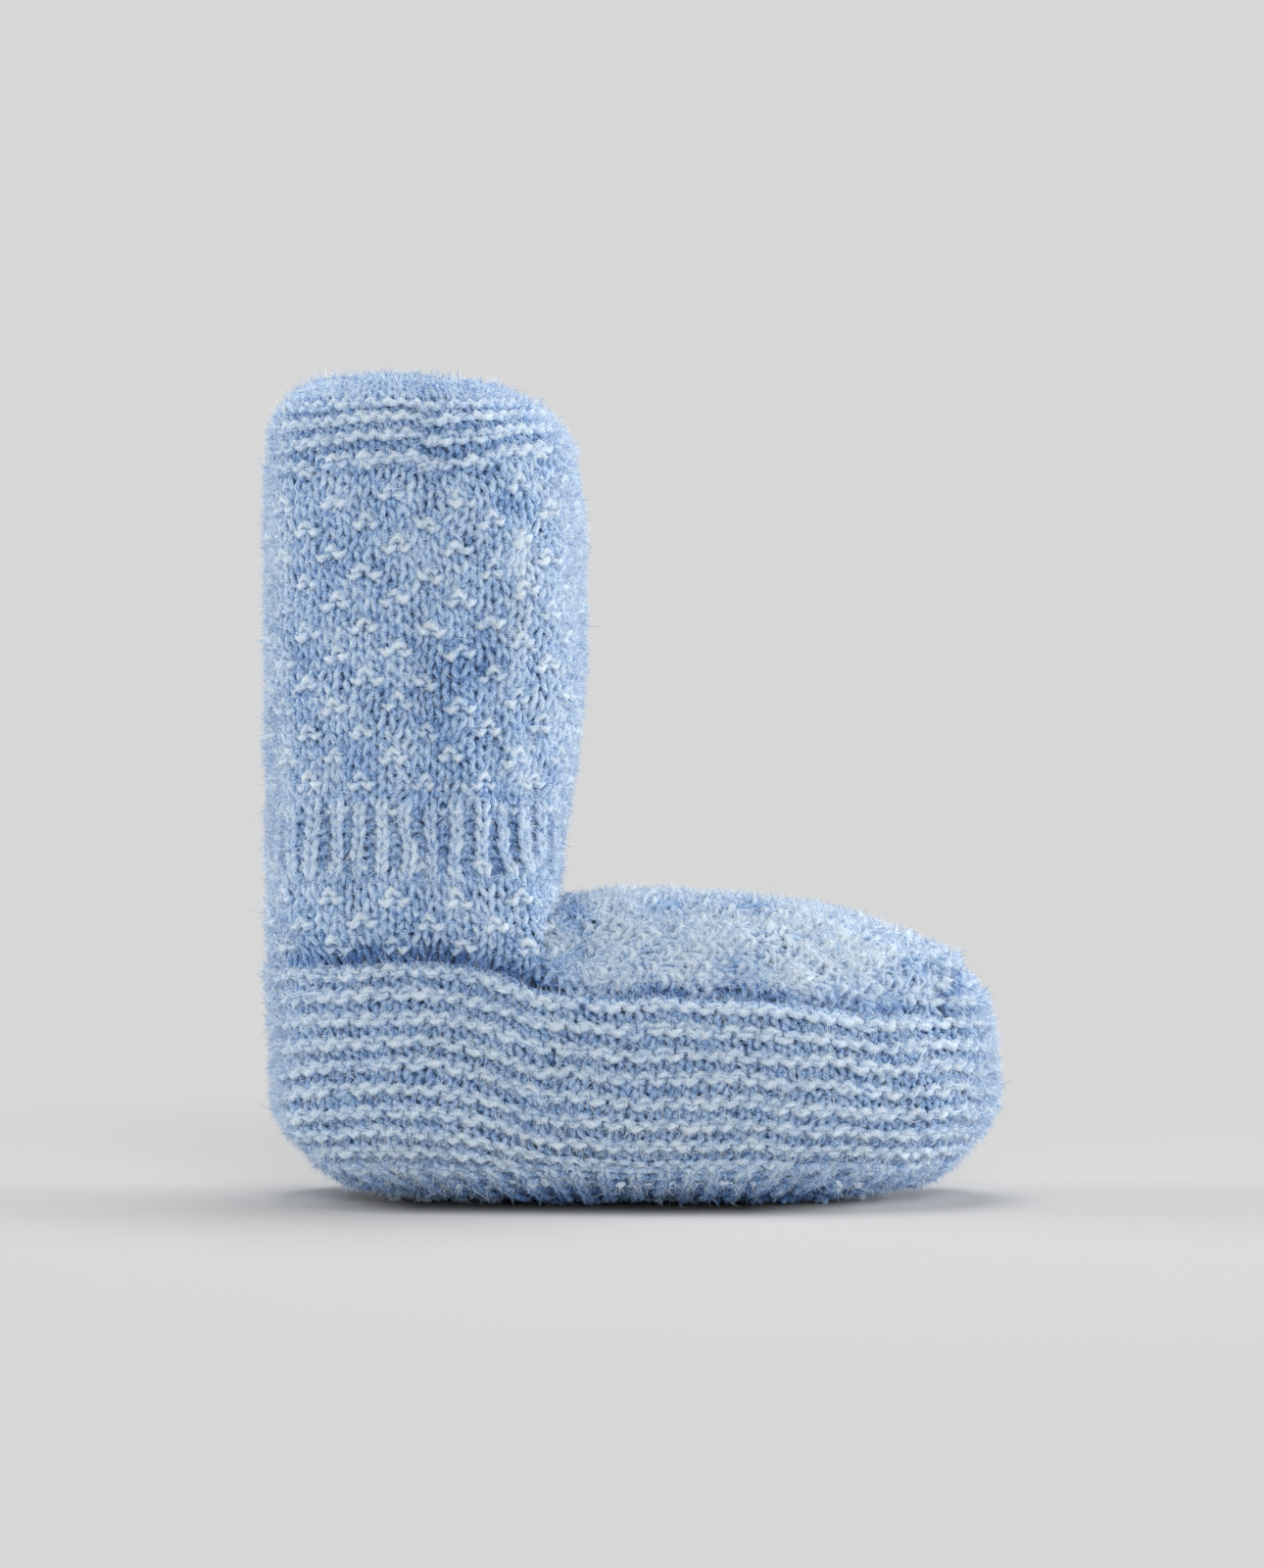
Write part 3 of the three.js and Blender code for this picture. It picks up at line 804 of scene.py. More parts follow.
def lay_row(strands, fabric, rise, pitch, stitches, knit, row, first, count, ring, offset=0.0):
    """One row of stitches. Each loop goes over or under its neighbours as its own stitch
    and the stitch above it are knit or purl. What is purl stands out from the sheet."""
    t = np.tile(np.linspace(-PI, PI, STITCH_STEPS, endpoint=False), count)
    stitch = np.repeat(np.arange(first, first + count), STITCH_STEPS)
    if not ring:
        t, stitch = np.append(t, PI), np.append(stitch, first + count - 1)
    own_place = stitch + t / (2 * PI)
    columns = np.arange(first - 1, first + count + 1)
    wrapped = columns % stitches if ring else columns

    def sign_of(values):
        """The row's signs along it. Purl reaches a little over knit, or the reverse."""
        ends = np.concatenate([[column - SIGN_HOLD, column + SIGN_HOLD] for column in columns])
        spread = knit["spread"]
        reach = [np.interp(own_place + way, ends, np.repeat(values, 2)) for way in (-spread, spread)]
        return np.minimum(*reach) if spread > 0 else np.maximum(*reach)

    def slack(size):
        return np.interp(own_place, columns, chance_round(len(columns), ring, size))

    own = sign_of(knit["chart"](wrapped, np.array(row)))
    above = sign_of(knit["chart"](wrapped, np.array(row + 1)))
    sign = mix(own, above, smoothstep(*SIGN_CHANGE, np.cos(t)))
    fullness = np.where(np.cos(t) > 0, HEAD_BUMP, FOOT_BUMP)
    purl = np.clip(np.cos(2 * t), 0, 1) * np.clip(-sign, 0, 1) * fullness
    height = LOOP_HEIGHT * pitch * (1 + slack(HEIGHT_SLACK))
    place = own_place + 0.5 + LOOP_OVERLAP * np.sin(2 * t) + slack(PLACE_SLACK)
    share = offset + place / stitches
    v = rise + height * np.cos(t) + slack(ROW_SLACK)
    stretch = np.clip(np.cos(t), 0, 1) * (1 + slack(BUMP_SLACK))
    v = v + knit["tall"] * purl * (stretch + np.sin(t) * slack(BUMP_TILT))
    out = knit["relief"] * (slack(DEPTH_SLACK) - LOOP_DEPTH * np.cos(2 * t) * sign) + knit["bump"] * purl
    out = out + knit["wale"] * own - knit["ridge"] * np.cos(PI * (v - rise + (row + 0.5) * pitch) / pitch)
    point, normal = fabric.at(share, v)
    matted = smoothstep(*MATTED_AND_SHEEN_FACING, np.abs(normal[:, 0]))
    out = out * (1 - MATTED_FLATTER * matted)
    v = v + uneven(point, ROW_WAVES) + knit["lean"](point)
    point, normal = fabric.at(share + uneven(point, STITCH_DRIFT) / stitches, v)
    thick = THICKNESS + knit["puff"] * purl + slack(THICKNESS_SLACK)
    # The lift picks the colour. Beyond the loops' height and tone it holds painted shade in creases and
    # towards the floor, and painted sheen at toe and heel.
    lift = out + knit["paler"] * purl + knit["tone"] + uneven(point, YARN_TONE) + knit["shade"](point)
    lift = mix(lift, ENDS_PAINTED_SHEEN_TONE, 0.5 * matted) - crease(point, normal)[1]
    strands.add(point + normal * out[:, None], normal, lift, thick, ring)


def knit_leg(fabric, rise_at):
    """Strands of the leg by zone: lower leg and ankle rib, flecked leg, and garter cuff with its edge."""
    top = rise_at(LEG[-1, LEVEL])
    roll, inside = top + COLLAR_ROLL, top + COLLAR_INSIDE
    zones = [
        ("lower_leg", rise_at(LEG_FOOT + ZONE_LAP), rise_at(RIB_FOOT), PATTERN_ROW, LEG_STITCHES, FLECKS),
        ("lower_leg", rise_at(RIB_FOOT - ZONE_LAP), rise_at(RIB_HEAD + RIB_LAP), RIB_ROW, RIB_STITCHES,
         ANKLE_RIB),
        ("leg", rise_at(RIB_HEAD), rise_at(CUFF_FOOT), PATTERN_ROW, LEG_STITCHES, FLECKS),
        ("cuff", rise_at(CUFF_FOOT), rise_at(CUFF_HEAD), CUFF_ROW, LEG_STITCHES, CUFF_GARTER),
        ("cuff", rise_at(CUFF_HEAD), roll, CUFF_ROW, LEG_STITCHES, COLLAR_EDGE),
        ("cuff", roll, inside, INNER_ROW, LEG_STITCHES, COLLAR_BACK),
    ]
    pieces = {}
    for name, low, high, wanted, stitches, knit in zones:
        strands = pieces.setdefault(name, Strands())
        rows = max(2, round((high - low) / wanted))
        pitch = (high - low) / rows
        for row in range(rows):
            rise = low + (row + 0.5) * pitch
            points, _ = fabric.at((np.arange(stitches) + 0.5) / stitches, np.full(stitches, rise))
            kept = (points[:, 2] > rim_height(points[:, 0]) - ROWS_BEHIND_RIM) & ~under_instep(points)
            for first, count, ring in runs(kept):
                lay_row(strands, fabric, rise, pitch, stitches, knit, row, first, count, ring)
    return pieces


# The band's rows: the first starts this share of a row below the rim, the last stay this far above the
# sole, stubs of fewer stitches are left out, and the rows from this one on make the lower piece.
FIRST_ROW_SHARE = 0.35
BAND_END_GAP = 0.3
FEWEST_STITCHES = 4
LOWER_BAND_ROW = 8


def knit_band(fabric, reach):
    """Strands of the band: garter rows down from the rim, each as far round as the band reaches there."""
    upper, lower = Strands(), Strands()
    places = (np.arange(BAND_STITCHES) + 0.5) / BAND_STITCHES
    columns = np.linspace(0, 1, len(reach["end"]))
    start, end = np.interp(places, columns, reach["start"]), np.interp(places, columns, reach["end"])
    for row in range(int(start.min() / BAND_ROW), int(end.max() / BAND_ROW)):
        rise = (row + FIRST_ROW_SHARE) * BAND_ROW
        strands = upper if row < LOWER_BAND_ROW else lower
        for first, count, ring in runs((rise > start) & (rise < end - BAND_END_GAP)):
            if count >= FEWEST_STITCHES:
                lay_row(strands, fabric, rise + reach["base"], BAND_ROW, BAND_STITCHES, BAND_GARTER,
                        row, first, count, ring)
    return upper, lower


def knit_edge(fabric):
    """Strands of the sole's edge: short rounds of rib, whose ribs stand upright."""
    strands = Strands()
    for row in range(int((fabric.grid.shape[0] - 1) * fabric.rise_step / EDGE_ROW)):
        rise = (row + 0.5) * EDGE_ROW
        lay_row(strands, fabric, rise, EDGE_ROW, EDGE_STITCHES, EDGE_RIB, row, 0, EDGE_STITCHES, True)
    return strands


def knit_panel(fabric, width, pitch, knit, edge):
    """Strands of a panel: rows across it, with the middle stitch in line from row to row. The first row
    lies off the panel's edge. A short row is squeezed or stretched to whole stitches."""
    strands = Strands()
    room = (fabric.grid.shape[0] - 1) * fabric.rise_step - edge
    rows = round(room / pitch)
    pitch = room / rows
    for row in range(rows):
        rise = edge + row * pitch
        length = np.interp(rise / fabric.rise_step, np.arange(len(fabric.lengths)), fabric.lengths)
        half = int(length / 2 / width)
        stitches = length / width
        if half < FEWEST_STITCHES:
            half = max(1, round(length / 2 / width))
            stitches = 2 * half
        lay_row(strands, fabric, rise, pitch, stitches, knit, row, -half, 2 * half, False, 0.5)
    return strands


# The felted back goes down behind the band's rim in the leg. In the band it keeps clear of the rim and of
# the sole's edge.
LEG_BACK_BELOW_RIM = 3
BAND_BACK_BELOW_RIM = 0.8
BAND_BACK_ABOVE_EDGE = 1.5


def everywhere(points):
    return np.ones(points.shape[:-1], bool)


def inside_leg(points):
    return (points[..., 2] > rim_height(points[..., 0]) - LEG_BACK_BELOW_RIM) & ~under_instep(points)


def inside_band(points):
    below = points[..., 2] < rim_height(points[..., 0]) - BAND_BACK_BELOW_RIM
    return below & (points[..., 2] > SOLE_EDGE + BAND_BACK_ABOVE_EDGE)


# The felted back's two skins lie this deep under the strands' middle, on every third line of the grid.
# The inner one is this much paler: painted light inside the bootie, where little light gets in.
LINING_DEPTHS = (0.9, 1.3)
LINING_STEP = 3
INNER_PALER = 0.4


def lining(fabric, where=everywhere):
    """The felted back of the knitting: a closed wall just behind its strands. Gives the wall's points and
    faces, and how much paler each point is."""
    grid = fabric.grid[::LINING_STEP, ::LINING_STEP]
    normals = fabric.normals[::LINING_STEP, ::LINING_STEP]
    if fabric.closed:
        grid, normals = grid[:, :-1], normals[:, :-1]
    rows, columns = grid.shape[:2]
    points = np.concatenate([(grid - normals * depth).reshape(-1, 3) for depth in LINING_DEPTHS])
    at = np.arange(rows * columns).reshape(rows, columns)
    kept = where(grid)
    if fabric.closed:
        at = np.concatenate([at, at[:, :1]], axis=1)
        kept = np.concatenate([kept, kept[:, :1]], axis=1)
    cell = kept[:-1, :-1] & kept[1:, :-1] & kept[:-1, 1:] & kept[1:, 1:]
    quads = np.stack([at[:-1, :-1], at[:-1, 1:], at[1:, 1:], at[1:, :-1]], axis=-1)[cell]
    back = quads[:, ::-1] + rows * columns
    edges = {}
    for quad in quads:
        for a, b in zip(quad, np.roll(quad, -1)):
            if (b, a) in edges:
                del edges[(b, a)]
            else:
                edges[(a, b)] = True
    rim = np.array([(b, a, a + rows * columns, b + rows * columns) for a, b in edges])
    return points, np.concatenate([quads, back, rim]), np.repeat([0, INNER_PALER], rows * columns)


def srgb(code):
    """A hex colour as linear red, green, blue and alpha."""
    values = [int(code[i:i + 2], 16) / 255 for i in (1, 3, 5)]
    return [v / 12.92 if v <= 0.04045 else ((v + 0.055) / 1.055) ** 2.4 for v in values] + [1]


def put(tree, kind, links=None, **settings):
    """Adds a node with its settings, and its inputs as values or as links from other nodes' outputs."""
    node = tree.nodes.new("ShaderNode" + kind)
    for key, value in settings.items():
        setattr(node, key, value)
    for name, value in (links or {}).items():
        if isinstance(value, bpy.types.NodeSocket):
            tree.links.new(value, node.inputs[name])
        else:
            node.inputs[name].default_value = value
    return node


def new_material(name):
    material = bpy.data.materials.new(name)
    material.use_nodes = True
    material.node_tree.nodes.clear()
    return material, material.node_tree


def ramp(node, stops):
    """Sets a colour ramp's stops: place, hex colour."""
    elements = node.color_ramp.elements
    while len(elements) < len(stops):
        elements.new(0.5)
    for element, (place, code) in zip(elements, stops):
        element.position, element.color = place, srgb(code)


# The wool's colours from deep between the loops out to the tips of the purl bumps, the loose fibres' from
# the darkest to the palest, and the felted back's.
WOOL = [(0.05, "#3a609b"), (0.32, "#84abdb"), (0.6, "#bdd4eb"), (0.9, "#e1ecf5")]
FIBRE = [(0, "#6a93cb"), (0.42, "#b5cce4"), (0.72, "#dae6ef"), (1, "#edf2f6")]
FELT = [(0.2, "#43619a"), (0.5, "#6f8dba"), (0.7, "#8eaad1"), (1, "#c9d8ea")]

# Streaks of fibre on the yarn, 0.8 mm long and 0.14 mm wide, as waves to a millimetre along and across.
# Real fibre is 0.03 mm thick: streaks and fuzz are drawn coarser, so that they show.
STREAK_STRETCH = (0.55, 3.2, 3.2)
STREAK_SCALE = 2.2

# Patterns on the surface, as waves to a metre: fuzz of 0.24 mm, patches of 8 mm, matting of 0.7 mm, and
# the purl side's bumps, 2.4 mm apart.
FUZZ_SCALE = 4.2 / MM
PATCH_SCALE = 0.12 / MM
MATTING_SCALE = 1.5 / MM
PURL_SCALE = 0.42 / MM


def brushed_wool(name):
    """Woollen yarn, spun from short fibre and brushed after knitting. Light goes deep into it, so what
    stands out is pale and what lies deep is a strong blue, with painted shade in the hollows as well.
    Fibres streak along the twist of its plies."""
    material, tree = new_material(name)
    lift = put(tree, "Attribute", attribute_name="lift").outputs["Fac"]
    fibre = put(tree, "Attribute", attribute_name="fibre").outputs["Vector"]
    place = put(tree, "TexCoord").outputs["Object"]
    streak = put(tree, "Mapping", {"Vector": fibre, "Scale": STREAK_STRETCH})
    strands = put(tree, "TexNoise", {"Vector": streak.outputs[0], "Scale": STREAK_SCALE, "Detail": 3,
                                     "Roughness": 0.65})
    fuzz = put(tree, "TexNoise", {"Vector": place, "Scale": FUZZ_SCALE, "Detail": 2, "Roughness": 0.8})
    patch = put(tree, "TexNoise", {"Vector": place, "Scale": PATCH_SCALE, "Detail": 1})
    grain = put(tree, "Math", {0: strands.outputs["Fac"], 1: fuzz.outputs["Fac"]}, operation="ADD")
    spread = put(tree, "MapRange", {"Value": grain.outputs[0], "From Min": 0.65, "From Max": 1.35,
                                    "To Min": -0.48, "To Max": 0.48})
    drift = put(tree, "MapRange", {"Value": patch.outputs["Fac"], "From Min": 0.3, "From Max": 0.7,
                                   "To Min": -0.04, "To Max": 0.04})
    height = put(tree, "MapRange", {"Value": lift, "From Min": -0.9, "From Max": 1.6})
    grained = put(tree, "Math", {0: height.outputs[0], 1: spread.outputs[0]}, operation="ADD")
    tone = put(tree, "Math", {0: grained.outputs[0], 1: drift.outputs[0]}, operation="ADD")
    colour = put(tree, "ValToRGB", {"Fac": tone.outputs[0]})
    ramp(colour, WOOL)
    bump = put(tree, "Bump", {"Height": grain.outputs[0], "Strength": 0.8, "Distance": 0.25 * MM})
    shader = put(tree, "BsdfPrincipled", {
        "Base Color": colour.outputs["Color"], "Roughness": 0.95, "Specular IOR Level": 0.15,
        "Sheen Weight": 0.35, "Sheen Roughness": 0.4, "Sheen Tint": srgb("#cfe0f2"),
        "Normal": bump.outputs[0]})
    put(tree, "OutputMaterial", {"Surface": shader.outputs[0]})
    return material


def loose_fibre(name):
    """Fine wool fibres brushed up from the yarn. Each lets light through, so they look pale."""
    material, tree = new_material(name)
    shade = put(tree, "Attribute", attribute_name="lift").outputs["Fac"]
    colour = put(tree, "ValToRGB", {"Fac": shade})
    ramp(colour, FIBRE)
    front = put(tree, "BsdfPrincipled", {
        "Base Color": colour.outputs["Color"], "Roughness": 0.8, "Specular IOR Level": 0.1,
        "Sheen Weight": 0.3, "Sheen Roughness": 0.5, "Sheen Tint": srgb("#eaf1f7")})
    through = put(tree, "BsdfTranslucent", {"Color": colour.outputs["Color"]})
    both = put(tree, "MixShader", {0: 0.4, 1: front.outputs[0], 2: through.outputs[0]})
    put(tree, "OutputMaterial", {"Surface": both.outputs[0]})
    return material


def felted_back(name):
    """Wool matted by wear, with the purl side's low bumps. Its darker colour is painted shade where it
    shows between the loops. It is paler on the side towards the foot: painted light inside.
    """
    material, tree = new_material(name)
    place = put(tree, "TexCoord").outputs["Object"]
    matted = put(tree, "TexNoise", {"Vector": place, "Scale": MATTING_SCALE, "Detail": 4,
                                    "Roughness": 0.7})
    bumps = put(tree, "TexVoronoi", {"Vector": place, "Scale": PURL_SCALE}, feature="SMOOTH_F1")
    height = put(tree, "Math", {0: matted.outputs["Fac"], 1: bumps.outputs["Distance"]},
                 operation="SUBTRACT")
    inner = put(tree, "Attribute", attribute_name="lift").outputs["Fac"]
    tone = put(tree, "Math", {0: matted.outputs["Fac"], 1: inner}, operation="ADD")
    colour = put(tree, "ValToRGB", {"Fac": tone.outputs[0]})
    ramp(colour, FELT)
    bump = put(tree, "Bump", {"Height": height.outputs[0], "Strength": 0.7, "Distance": 0.5 * MM})
    shader = put(tree, "BsdfPrincipled", {
        "Base Color": colour.outputs["Color"], "Roughness": 0.95, "Specular IOR Level": 0.15,
        "Sheen Weight": 0.3, "Sheen Roughness": 0.5, "Sheen Tint": srgb("#dfe9f2"),
        "Normal": bump.outputs[0]})
    put(tree, "OutputMaterial", {"Surface": shader.outputs[0]})
    return material


def make_piece(name, points, faces, material, slot, node, lift=None, fibre=None):
    """A mesh piece that rides on the bootie and stands for a solid. Faces is a list of arrays."""
    mesh = bpy.data.meshes.new(name)
    sizes = np.concatenate([np.full(len(group), group.shape[1]) for group in faces])
    corners = np.concatenate([group.ravel() for group in faces])
    mesh.vertices.add(len(points))
    mesh.vertices.foreach_set("co", (points * MM).astype(np.float32).ravel())
    mesh.loops.add(len(corners))
    mesh.loops.foreach_set("vertex_index", corners.astype(np.int32))
    mesh.polygons.add(len(sizes))
    mesh.polygons.foreach_set("loop_start", (np.cumsum(sizes) - sizes).astype(np.int32))
    layers = [("lift", "FLOAT", "value", lift), ("fibre", "FLOAT_VECTOR", "vector", fibre)]
    for label, kind, field, values in layers:
        if values is not None:
            layer = mesh.attributes.new(label, kind, "POINT")
            layer.data.foreach_set(field, values.astype(np.float32).ravel())
    mesh.update(calc_edges=True)
    mesh.shade_smooth()
    mesh.materials.append(material)
    piece = bpy.data.objects.new(name, mesh)
    bpy.context.scene.collection.objects.link(piece)
    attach(piece, "root")
    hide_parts(node)
    return piece


def off_floor(points):
    """The points, with none lower than just above the floor."""
    return np.column_stack([points[:, :2], np.maximum(points[:, 2], FLOOR_CLEARANCE)])


def make_knit(name, strands, material, slot, node):
    """A piece of knitting from its strands."""
    faces = [np.concatenate(strands.faces)]
    if strands.caps:
        faces.append(np.array(strands.caps))
    points = off_floor(np.concatenate(strands.points))
    return make_piece(name, points, faces, material, slot, node,
                      np.concatenate(strands.lift), np.concatenate(strands.fibre))


# Real fibres are about 0.03 mm thick. These are drawn four times as wide where they leave the yarn, and
# are fewer, so that they still show at the size of a picture.
FIBRE_WIDTH = 0.12
NAP_LENGTHS = (0.8, 2.0)
FUZZ_LEAST_LENGTH = 0.5
FUZZ_LENGTH_SHAPE = 5
FUZZ_LENGTH_SCALE = 0.26
FUZZ_BEND = 0.4
FUZZ_TAPER = 0.8

# Where fibres start and how they lie: how much they favour the yarn that stands out and the ends of the
# foot, how near the yarn's skin and how far along it they start, their tilt off the surface in degrees,
# how far their flat side is turned by chance, and how pale they are.
FAVOUR_HIGH = 0.75
FAVOUR_ENDS = 1.2
ROOT_NEARNESS = 0.9
ROOT_SPREAD = 0.5
LEAST_TILT = 4
MORE_TILT = 70
TILT_CHANCE = (1.1, 2.2)
FLAT_CHANCE = 0.6
FIBRE_TONE = 0.42
FIBRE_TONE_BY_LIFT = 0.3
FIBRE_TONE_CHANCE = 0.38


def fibre_roots(strands, count, chance):
    """Where fibres leave the yarn, which way they go, and how pale they are. Most lie nearly flat."""
    roots = np.concatenate([root for group in strands for root in group.roots])
    centres, normals, tangents, lifts = roots[:, :3], roots[:, 3:6], roots[:, 6:9], roots[:, 9]
    ends = smoothstep(*MATTED_AND_SHEEN_FACING, np.abs(normals[:, 0]))
    weight = np.exp(FAVOUR_HIGH * lifts) * (1 + FAVOUR_ENDS * ends)
    picked = chance.choice(len(roots), count, p=weight / weight.sum())
    centre, normal, tangent, lift = centres[picked], normals[picked], tangents[picked], lifts[picked]
    side = np.cross(normal, tangent)
    turn = chance.uniform(0, 2 * PI, count)[:, None]
    flat = np.cos(turn) * tangent + np.sin(turn) * side
    tilt = np.radians(LEAST_TILT + MORE_TILT * chance.beta(*TILT_CHANCE, count))[:, None]
    way = np.sin(tilt) * normal + np.cos(tilt) * flat
    place = chance.uniform(0, 1, count)[:, None]
    above = normal * ROOT_NEARNESS * np.sqrt(1 - ROOT_NEARNESS * place**2)
    root = centre + YARN_RADIUS * (above + flat * ROOT_NEARNESS * place)
    root += tangent * chance.uniform(-ROOT_SPREAD, ROOT_SPREAD, count)[:, None]
    across = np.cross(way, normal + FLAT_CHANCE * chance.normal(size=(count, 3)))
    across /= np.linalg.norm(across, axis=1, keepdims=True)
    # Fibres follow the yarn's lift, and with it its painted shade and painted sheen.
    tone = FIBRE_TONE + FIBRE_TONE_BY_LIFT * lift + chance.normal(size=count) * FIBRE_TONE_CHANCE
    return root, way, across * FIBRE_WIDTH / 2, normal, np.clip(tone, 0, 1)


def make_nap(name, strands, count, material, slot, node, seed):
    """Short straight fibres that stand off the yarn and lean every way."""
    chance = np.random.default_rng(seed)
    root, way, half, _, shade = fibre_roots(strands, count, chance)
    length = chance.uniform(*NAP_LENGTHS, count)[:, None]
    points = np.stack([root - half, root + half, root + way * length], axis=1)
    corners = points.shape[1]
    faces = np.arange(count * corners).reshape(-1, corners)
    return make_piece(name, off_floor(points.reshape(-1, 3)), [faces], material, slot, node,
                      np.repeat(shade, corners))


def make_fuzz(name, strands, count, material, slot, node, seed):
    """Longer fibres that bend back towards the knitting: one bend and a point to each."""
    chance = np.random.default_rng(seed)
    root, way, half, normal, shade = fibre_roots(strands, count, chance)
    length = chance.gamma(FUZZ_LENGTH_SHAPE, FUZZ_LENGTH_SCALE, count)[:, None] + FUZZ_LEAST_LENGTH
    bend = chance.normal(size=(count, 3)) * FUZZ_BEND - FUZZ_BEND * normal
    halfway = 0.5
    middle = root + (way * halfway + bend * halfway**2) * length
    tip = root + (way + bend) * length
    slimmer = half * FUZZ_TAPER
    points = np.stack([root - half, root + half, middle - slimmer, middle + slimmer, tip], axis=1)
    corners = points.shape[1]
    first = np.arange(count)[:, None] * corners
    quads, tips = first + np.array([[0, 1, 3, 2]]), first + np.array([[2, 3, 4]])
    return make_piece(name, off_floor(points.reshape(-1, 3)), [quads, tips], material, slot, node,
                      np.repeat(shade, corners))


# The camera stands level, square to the bootie's side: its distance and height, and the height of floor
# and air that it sees at the bootie, all in metres.
CAMERA_DISTANCE = 0.64
CAMERA_HEIGHT = 0.0668
VIEW_HEIGHT = 0.2536
SENSOR_WIDTH = 36


def make_camera():
    """A plain level view that isn't shifted."""
    data = bpy.data.cameras.new("camera")
    data.sensor_width = SENSOR_WIDTH
    data.lens = data.sensor_width * CAMERA_DISTANCE / VIEW_HEIGHT
    data.clip_start, data.clip_end = 0.01, 50
    camera = bpy.data.objects.new("camera", data)
    camera.location = (0, -CAMERA_DISTANCE, CAMERA_HEIGHT)
    camera.rotation_euler = (PI / 2, 0, 0)
    bpy.context.scene.collection.objects.link(camera)
    bpy.context.scene.camera = camera


# Large soft white lights: name, place and width in metres, and power in watts. All face the bootie at one
# height.
LIGHTS = [
    ("key", (0.2, -0.95, 0.27), 0.75, 7.8),
    ("top", (0, 0.16, 1.04), 0.55, 6.3),
    ("left_edge", (-0.9, 0.1, 0.2), 0.4, 6.6),
    ("right_edge", (0.9, 0.1, 0.2), 0.4, 7.6),
]
AIM_HEIGHT = 0.06


def make_light(name, place, size, power):
    data = bpy.data.lights.new(name, "AREA")
    data.shape, data.size, data.energy = "DISK", size, power
    light = bpy.data.objects.new(name, data)
    light.location = place
    away = light.location.copy()
    away.z -= AIM_HEIGHT
    light.rotation_euler = away.to_track_quat("Z", "Y").to_euler()
    bpy.context.scene.collection.objects.link(light)


PAPER = "#d7d7d7"


def make_world():
    """Air in the paper's grey. The light that it gives is weak from below and stronger from above."""
    world = bpy.data.worlds.new("studio")
    world.use_nodes = True
    tree = world.node_tree
    tree.nodes.clear()
    seen = put(tree, "Background", {"Color": srgb(PAPER), "Strength": 1.0})
    way = put(tree, "SeparateXYZ", {0: put(tree, "TexCoord").outputs["Generated"]})
    height = put(tree, "MapRange", {"Value": way.outputs["Z"], "From Min": 0.0, "From Max": 0.9,
                                    "To Min": 0.05, "To Max": 0.36})
    lit = put(tree, "Background", {"Color": (1, 1, 1, 1), "Strength": height.outputs[0]})
    direct = put(tree, "LightPath").outputs["Is Camera Ray"]
    both = put(tree, "MixShader", {0: direct, 1: lit.outputs[0], 2: seen.outputs[0]})
    put(tree, "OutputWorld", {"Surface": both.outputs[0]})
    bpy.context.scene.world = world
    bpy.context.scene.view_settings.view_transform = "Standard"


# The paper takes light near the bootie and glows in its own grey farther off, in metres from the middle.
PAPER_FADE = (0.11, 0.24)

# Close under the bootie a contact shadow is painted into the paper, by how near the bootie is. It is
# deepest round the middle of the sole, which lies a little towards the heel. Towards the sole's ends it
# gives way to painted light, where the paper is paler under the toe and heel than in the open.
CONTACT_REACH = 12 * MM
SHADOW_MIDDLE = -8 * MM
SHADOW_ENDS = (26 * MM, 46 * MM)
MIDDLE_PAINTED_SHADOW_GREY = 0.1
ENDS_PAINTED_LIGHT_GREY = 0.68
PAPER_GREY = 0.52
FLOOR_REACH = 8.0


def seamless_paper():
    """Matt background paper with no gloss, in the grey of the air behind it, with painted shadow and
    painted light under the bootie.
    """
    material, tree = new_material("seamless_paper")
    place = put(tree, "TexCoord").outputs["Object"]
    away = put(tree, "VectorMath", {0: place}, operation="LENGTH")
    far = put(tree, "MapRange", {"Value": away.outputs["Value"], "From Min": PAPER_FADE[0],
                                 "From Max": PAPER_FADE[1]}, interpolation_type="SMOOTHSTEP")
    near = put(tree, "AmbientOcclusion", {"Distance": CONTACT_REACH}, samples=8)
    x = put(tree, "SeparateXYZ", {0: place}).outputs["X"]
    shifted = put(tree, "Math", {0: x, 1: SHADOW_MIDDLE}, operation="SUBTRACT")
    along = put(tree, "Math", {0: shifted.outputs[0]}, operation="ABSOLUTE")
    deep = put(tree, "MapRange", {"Value": along.outputs[0], "From Min": SHADOW_ENDS[0],
                                  "From Max": SHADOW_ENDS[1], "To Min": MIDDLE_PAINTED_SHADOW_GREY,
                                  "To Max": ENDS_PAINTED_LIGHT_GREY})
    grey = put(tree, "MapRange", {"Value": near.outputs["AO"], "From Min": 0.3, "From Max": 1.0,
                                  "To Min": deep.outputs[0], "To Max": PAPER_GREY})
    paper = put(tree, "BsdfDiffuse", {"Color": grey.outputs[0]})
    glow = put(tree, "Emission", {"Color": srgb(PAPER), "Strength": 1.0})
    both = put(tree, "MixShader", {0: far.outputs[0], 1: paper.outputs[0], 2: glow.outputs[0]})
    put(tree, "OutputMaterial", {"Surface": both.outputs[0]})
    return material


def make_floor():
    mesh = bpy.data.meshes.new("floor")
    corners = [(-1, -1), (1, -1), (1, 1), (-1, 1)]
    mesh.from_pydata([(x * FLOOR_REACH, y * FLOOR_REACH, 0) for x, y in corners], [], [(0, 1, 2, 3)])
    mesh.materials.append(seamless_paper())
    floor = bpy.data.objects.new("floor", mesh)
    bpy.context.scene.collection.objects.link(floor)


make_camera()
make_world()
for light in LIGHTS:
    make_light(*light)
make_floor()

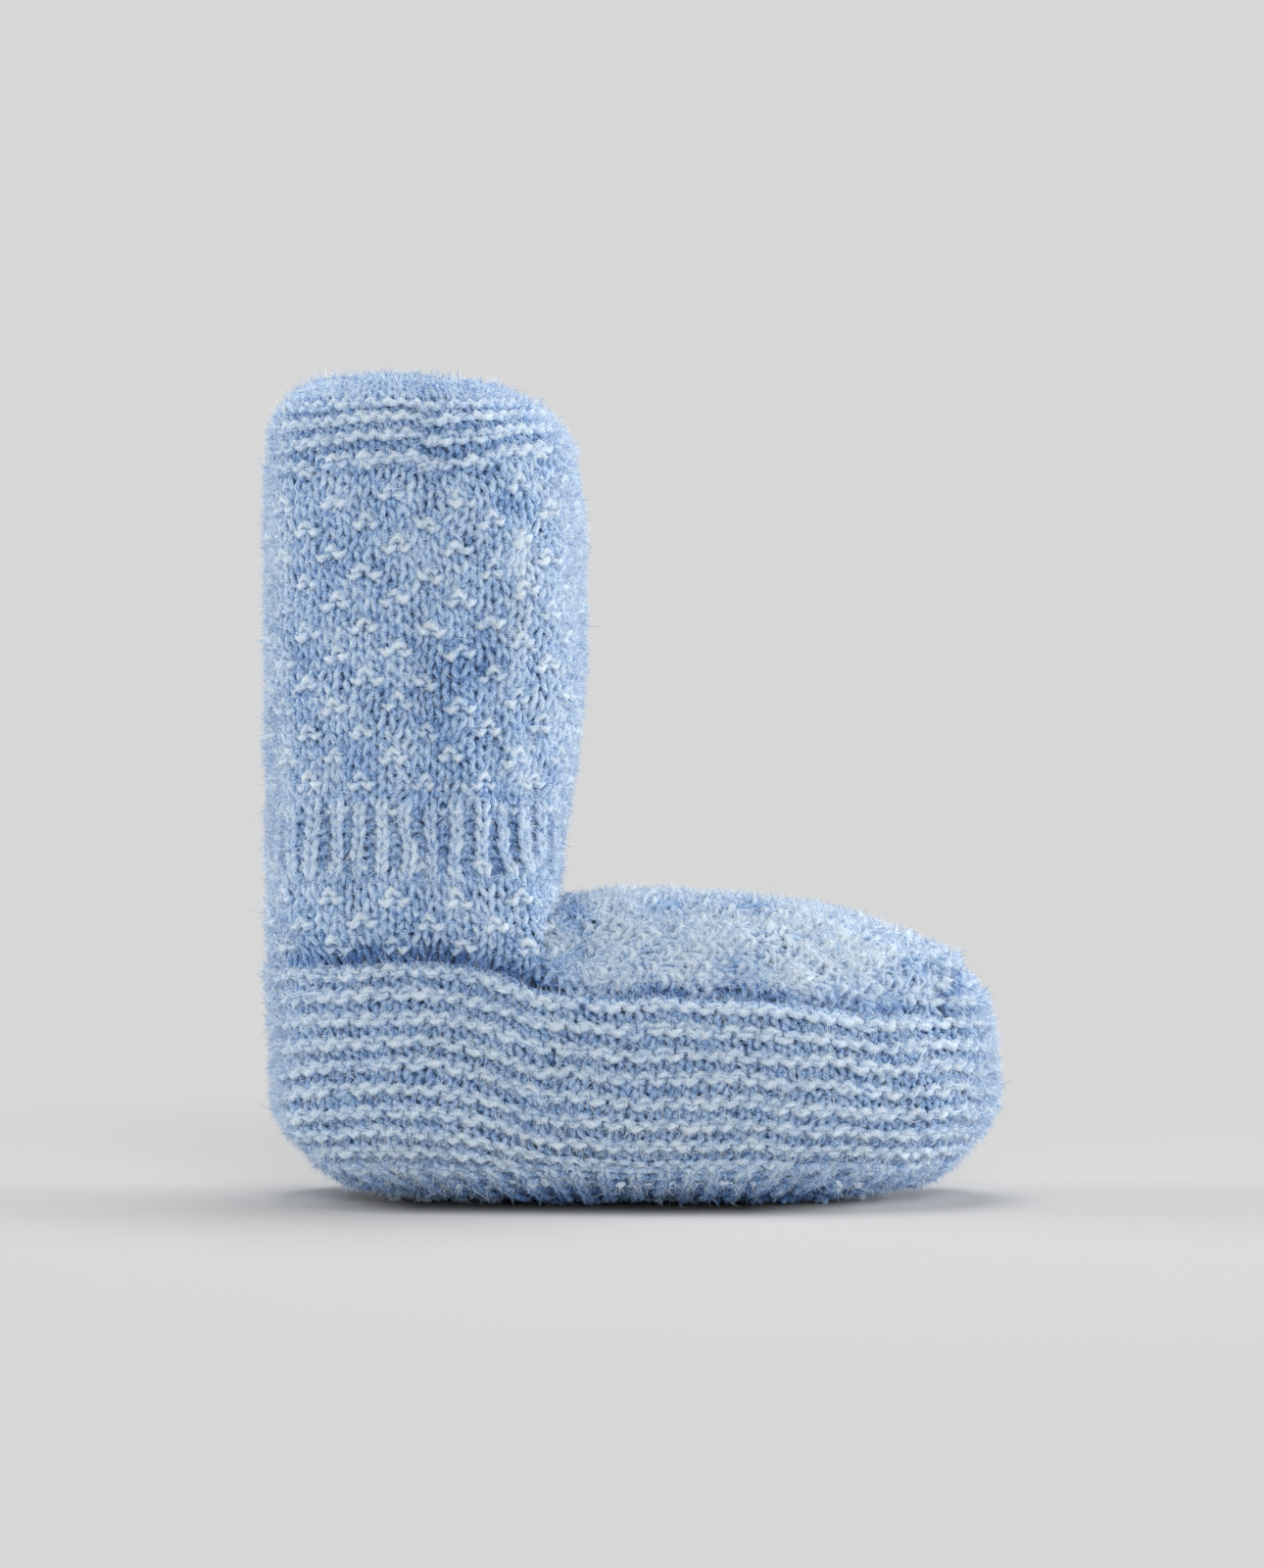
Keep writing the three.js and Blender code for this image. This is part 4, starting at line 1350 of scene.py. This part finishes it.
leg, rise_at = leg_fabric()
band, band_reach = band_fabric()
instep = instep_fabric()
edge = edge_fabric()
sole = sole_fabric()

leg_wool = brushed_wool("brushed_wool_leg")
band_wool = brushed_wool("brushed_wool_band")
sole_wool = brushed_wool("brushed_wool_sole")
loose_wool = loose_fibre("loose_wool_fibre")
felt = felted_back("felted_wool_back")

# How far the first row of each panel lies off its edge.
INSTEP_MARGIN = 1.0
SOLE_MARGIN = 1.5

leg_strands = knit_leg(leg, rise_at)
instep_strands = knit_panel(instep, INSTEP_STITCH, PATTERN_ROW, INSTEP_MOSS, INSTEP_MARGIN)
band_upper, band_lower = knit_band(band, band_reach)
edge_strands = knit_edge(edge)
sole_strands = knit_panel(sole, SOLE_STITCH, SOLE_ROW, SOLE_GARTER, SOLE_MARGIN)

for name, strands in leg_strands.items():
    make_knit(name + "_knit", strands, leg_wool, *UPPER)
make_knit("instep_knit", instep_strands, leg_wool, *UPPER)
make_knit("band_upper_knit", band_upper, band_wool, *BAND)
make_knit("band_lower_knit", band_lower, band_wool, *BAND)
make_knit("sole_edge_knit", edge_strands, sole_wool, *SOLE)
make_knit("sole_knit", sole_strands, sole_wool, *SOLE)

linings = [
    ("leg_lining", lining(leg, inside_leg), UPPER),
    ("instep_lining", lining(instep), UPPER),
    ("band_lining", lining(band, inside_band), BAND),
    ("sole_edge_lining", lining(edge), SOLE),
    ("sole_lining", lining(sole), SOLE),
]
for name, (points, faces, paler), solid in linings:
    make_piece(name, points, [faces], felt, *solid, paler)

# The loose fibres: name, the strands that they leave, and how many short and long ones.
thin = 1.0
naps = [
    ("leg", list(leg_strands.values()), 142000, 17000, UPPER),
    ("instep", [instep_strands], 36000, 5000, UPPER),
    ("band", [band_upper, band_lower], 122000, 13000, BAND),
    ("sole", [edge_strands, sole_strands], 16000, 700, SOLE),
]
for seed, (name, strands, short, long, solid) in enumerate(naps):
    make_nap(name + "_nap", strands, int(short * thin), loose_wool, *solid, 31 + seed)
    make_fuzz(name + "_fuzz", strands, int(long * thin), loose_wool, *solid, 41 + seed)
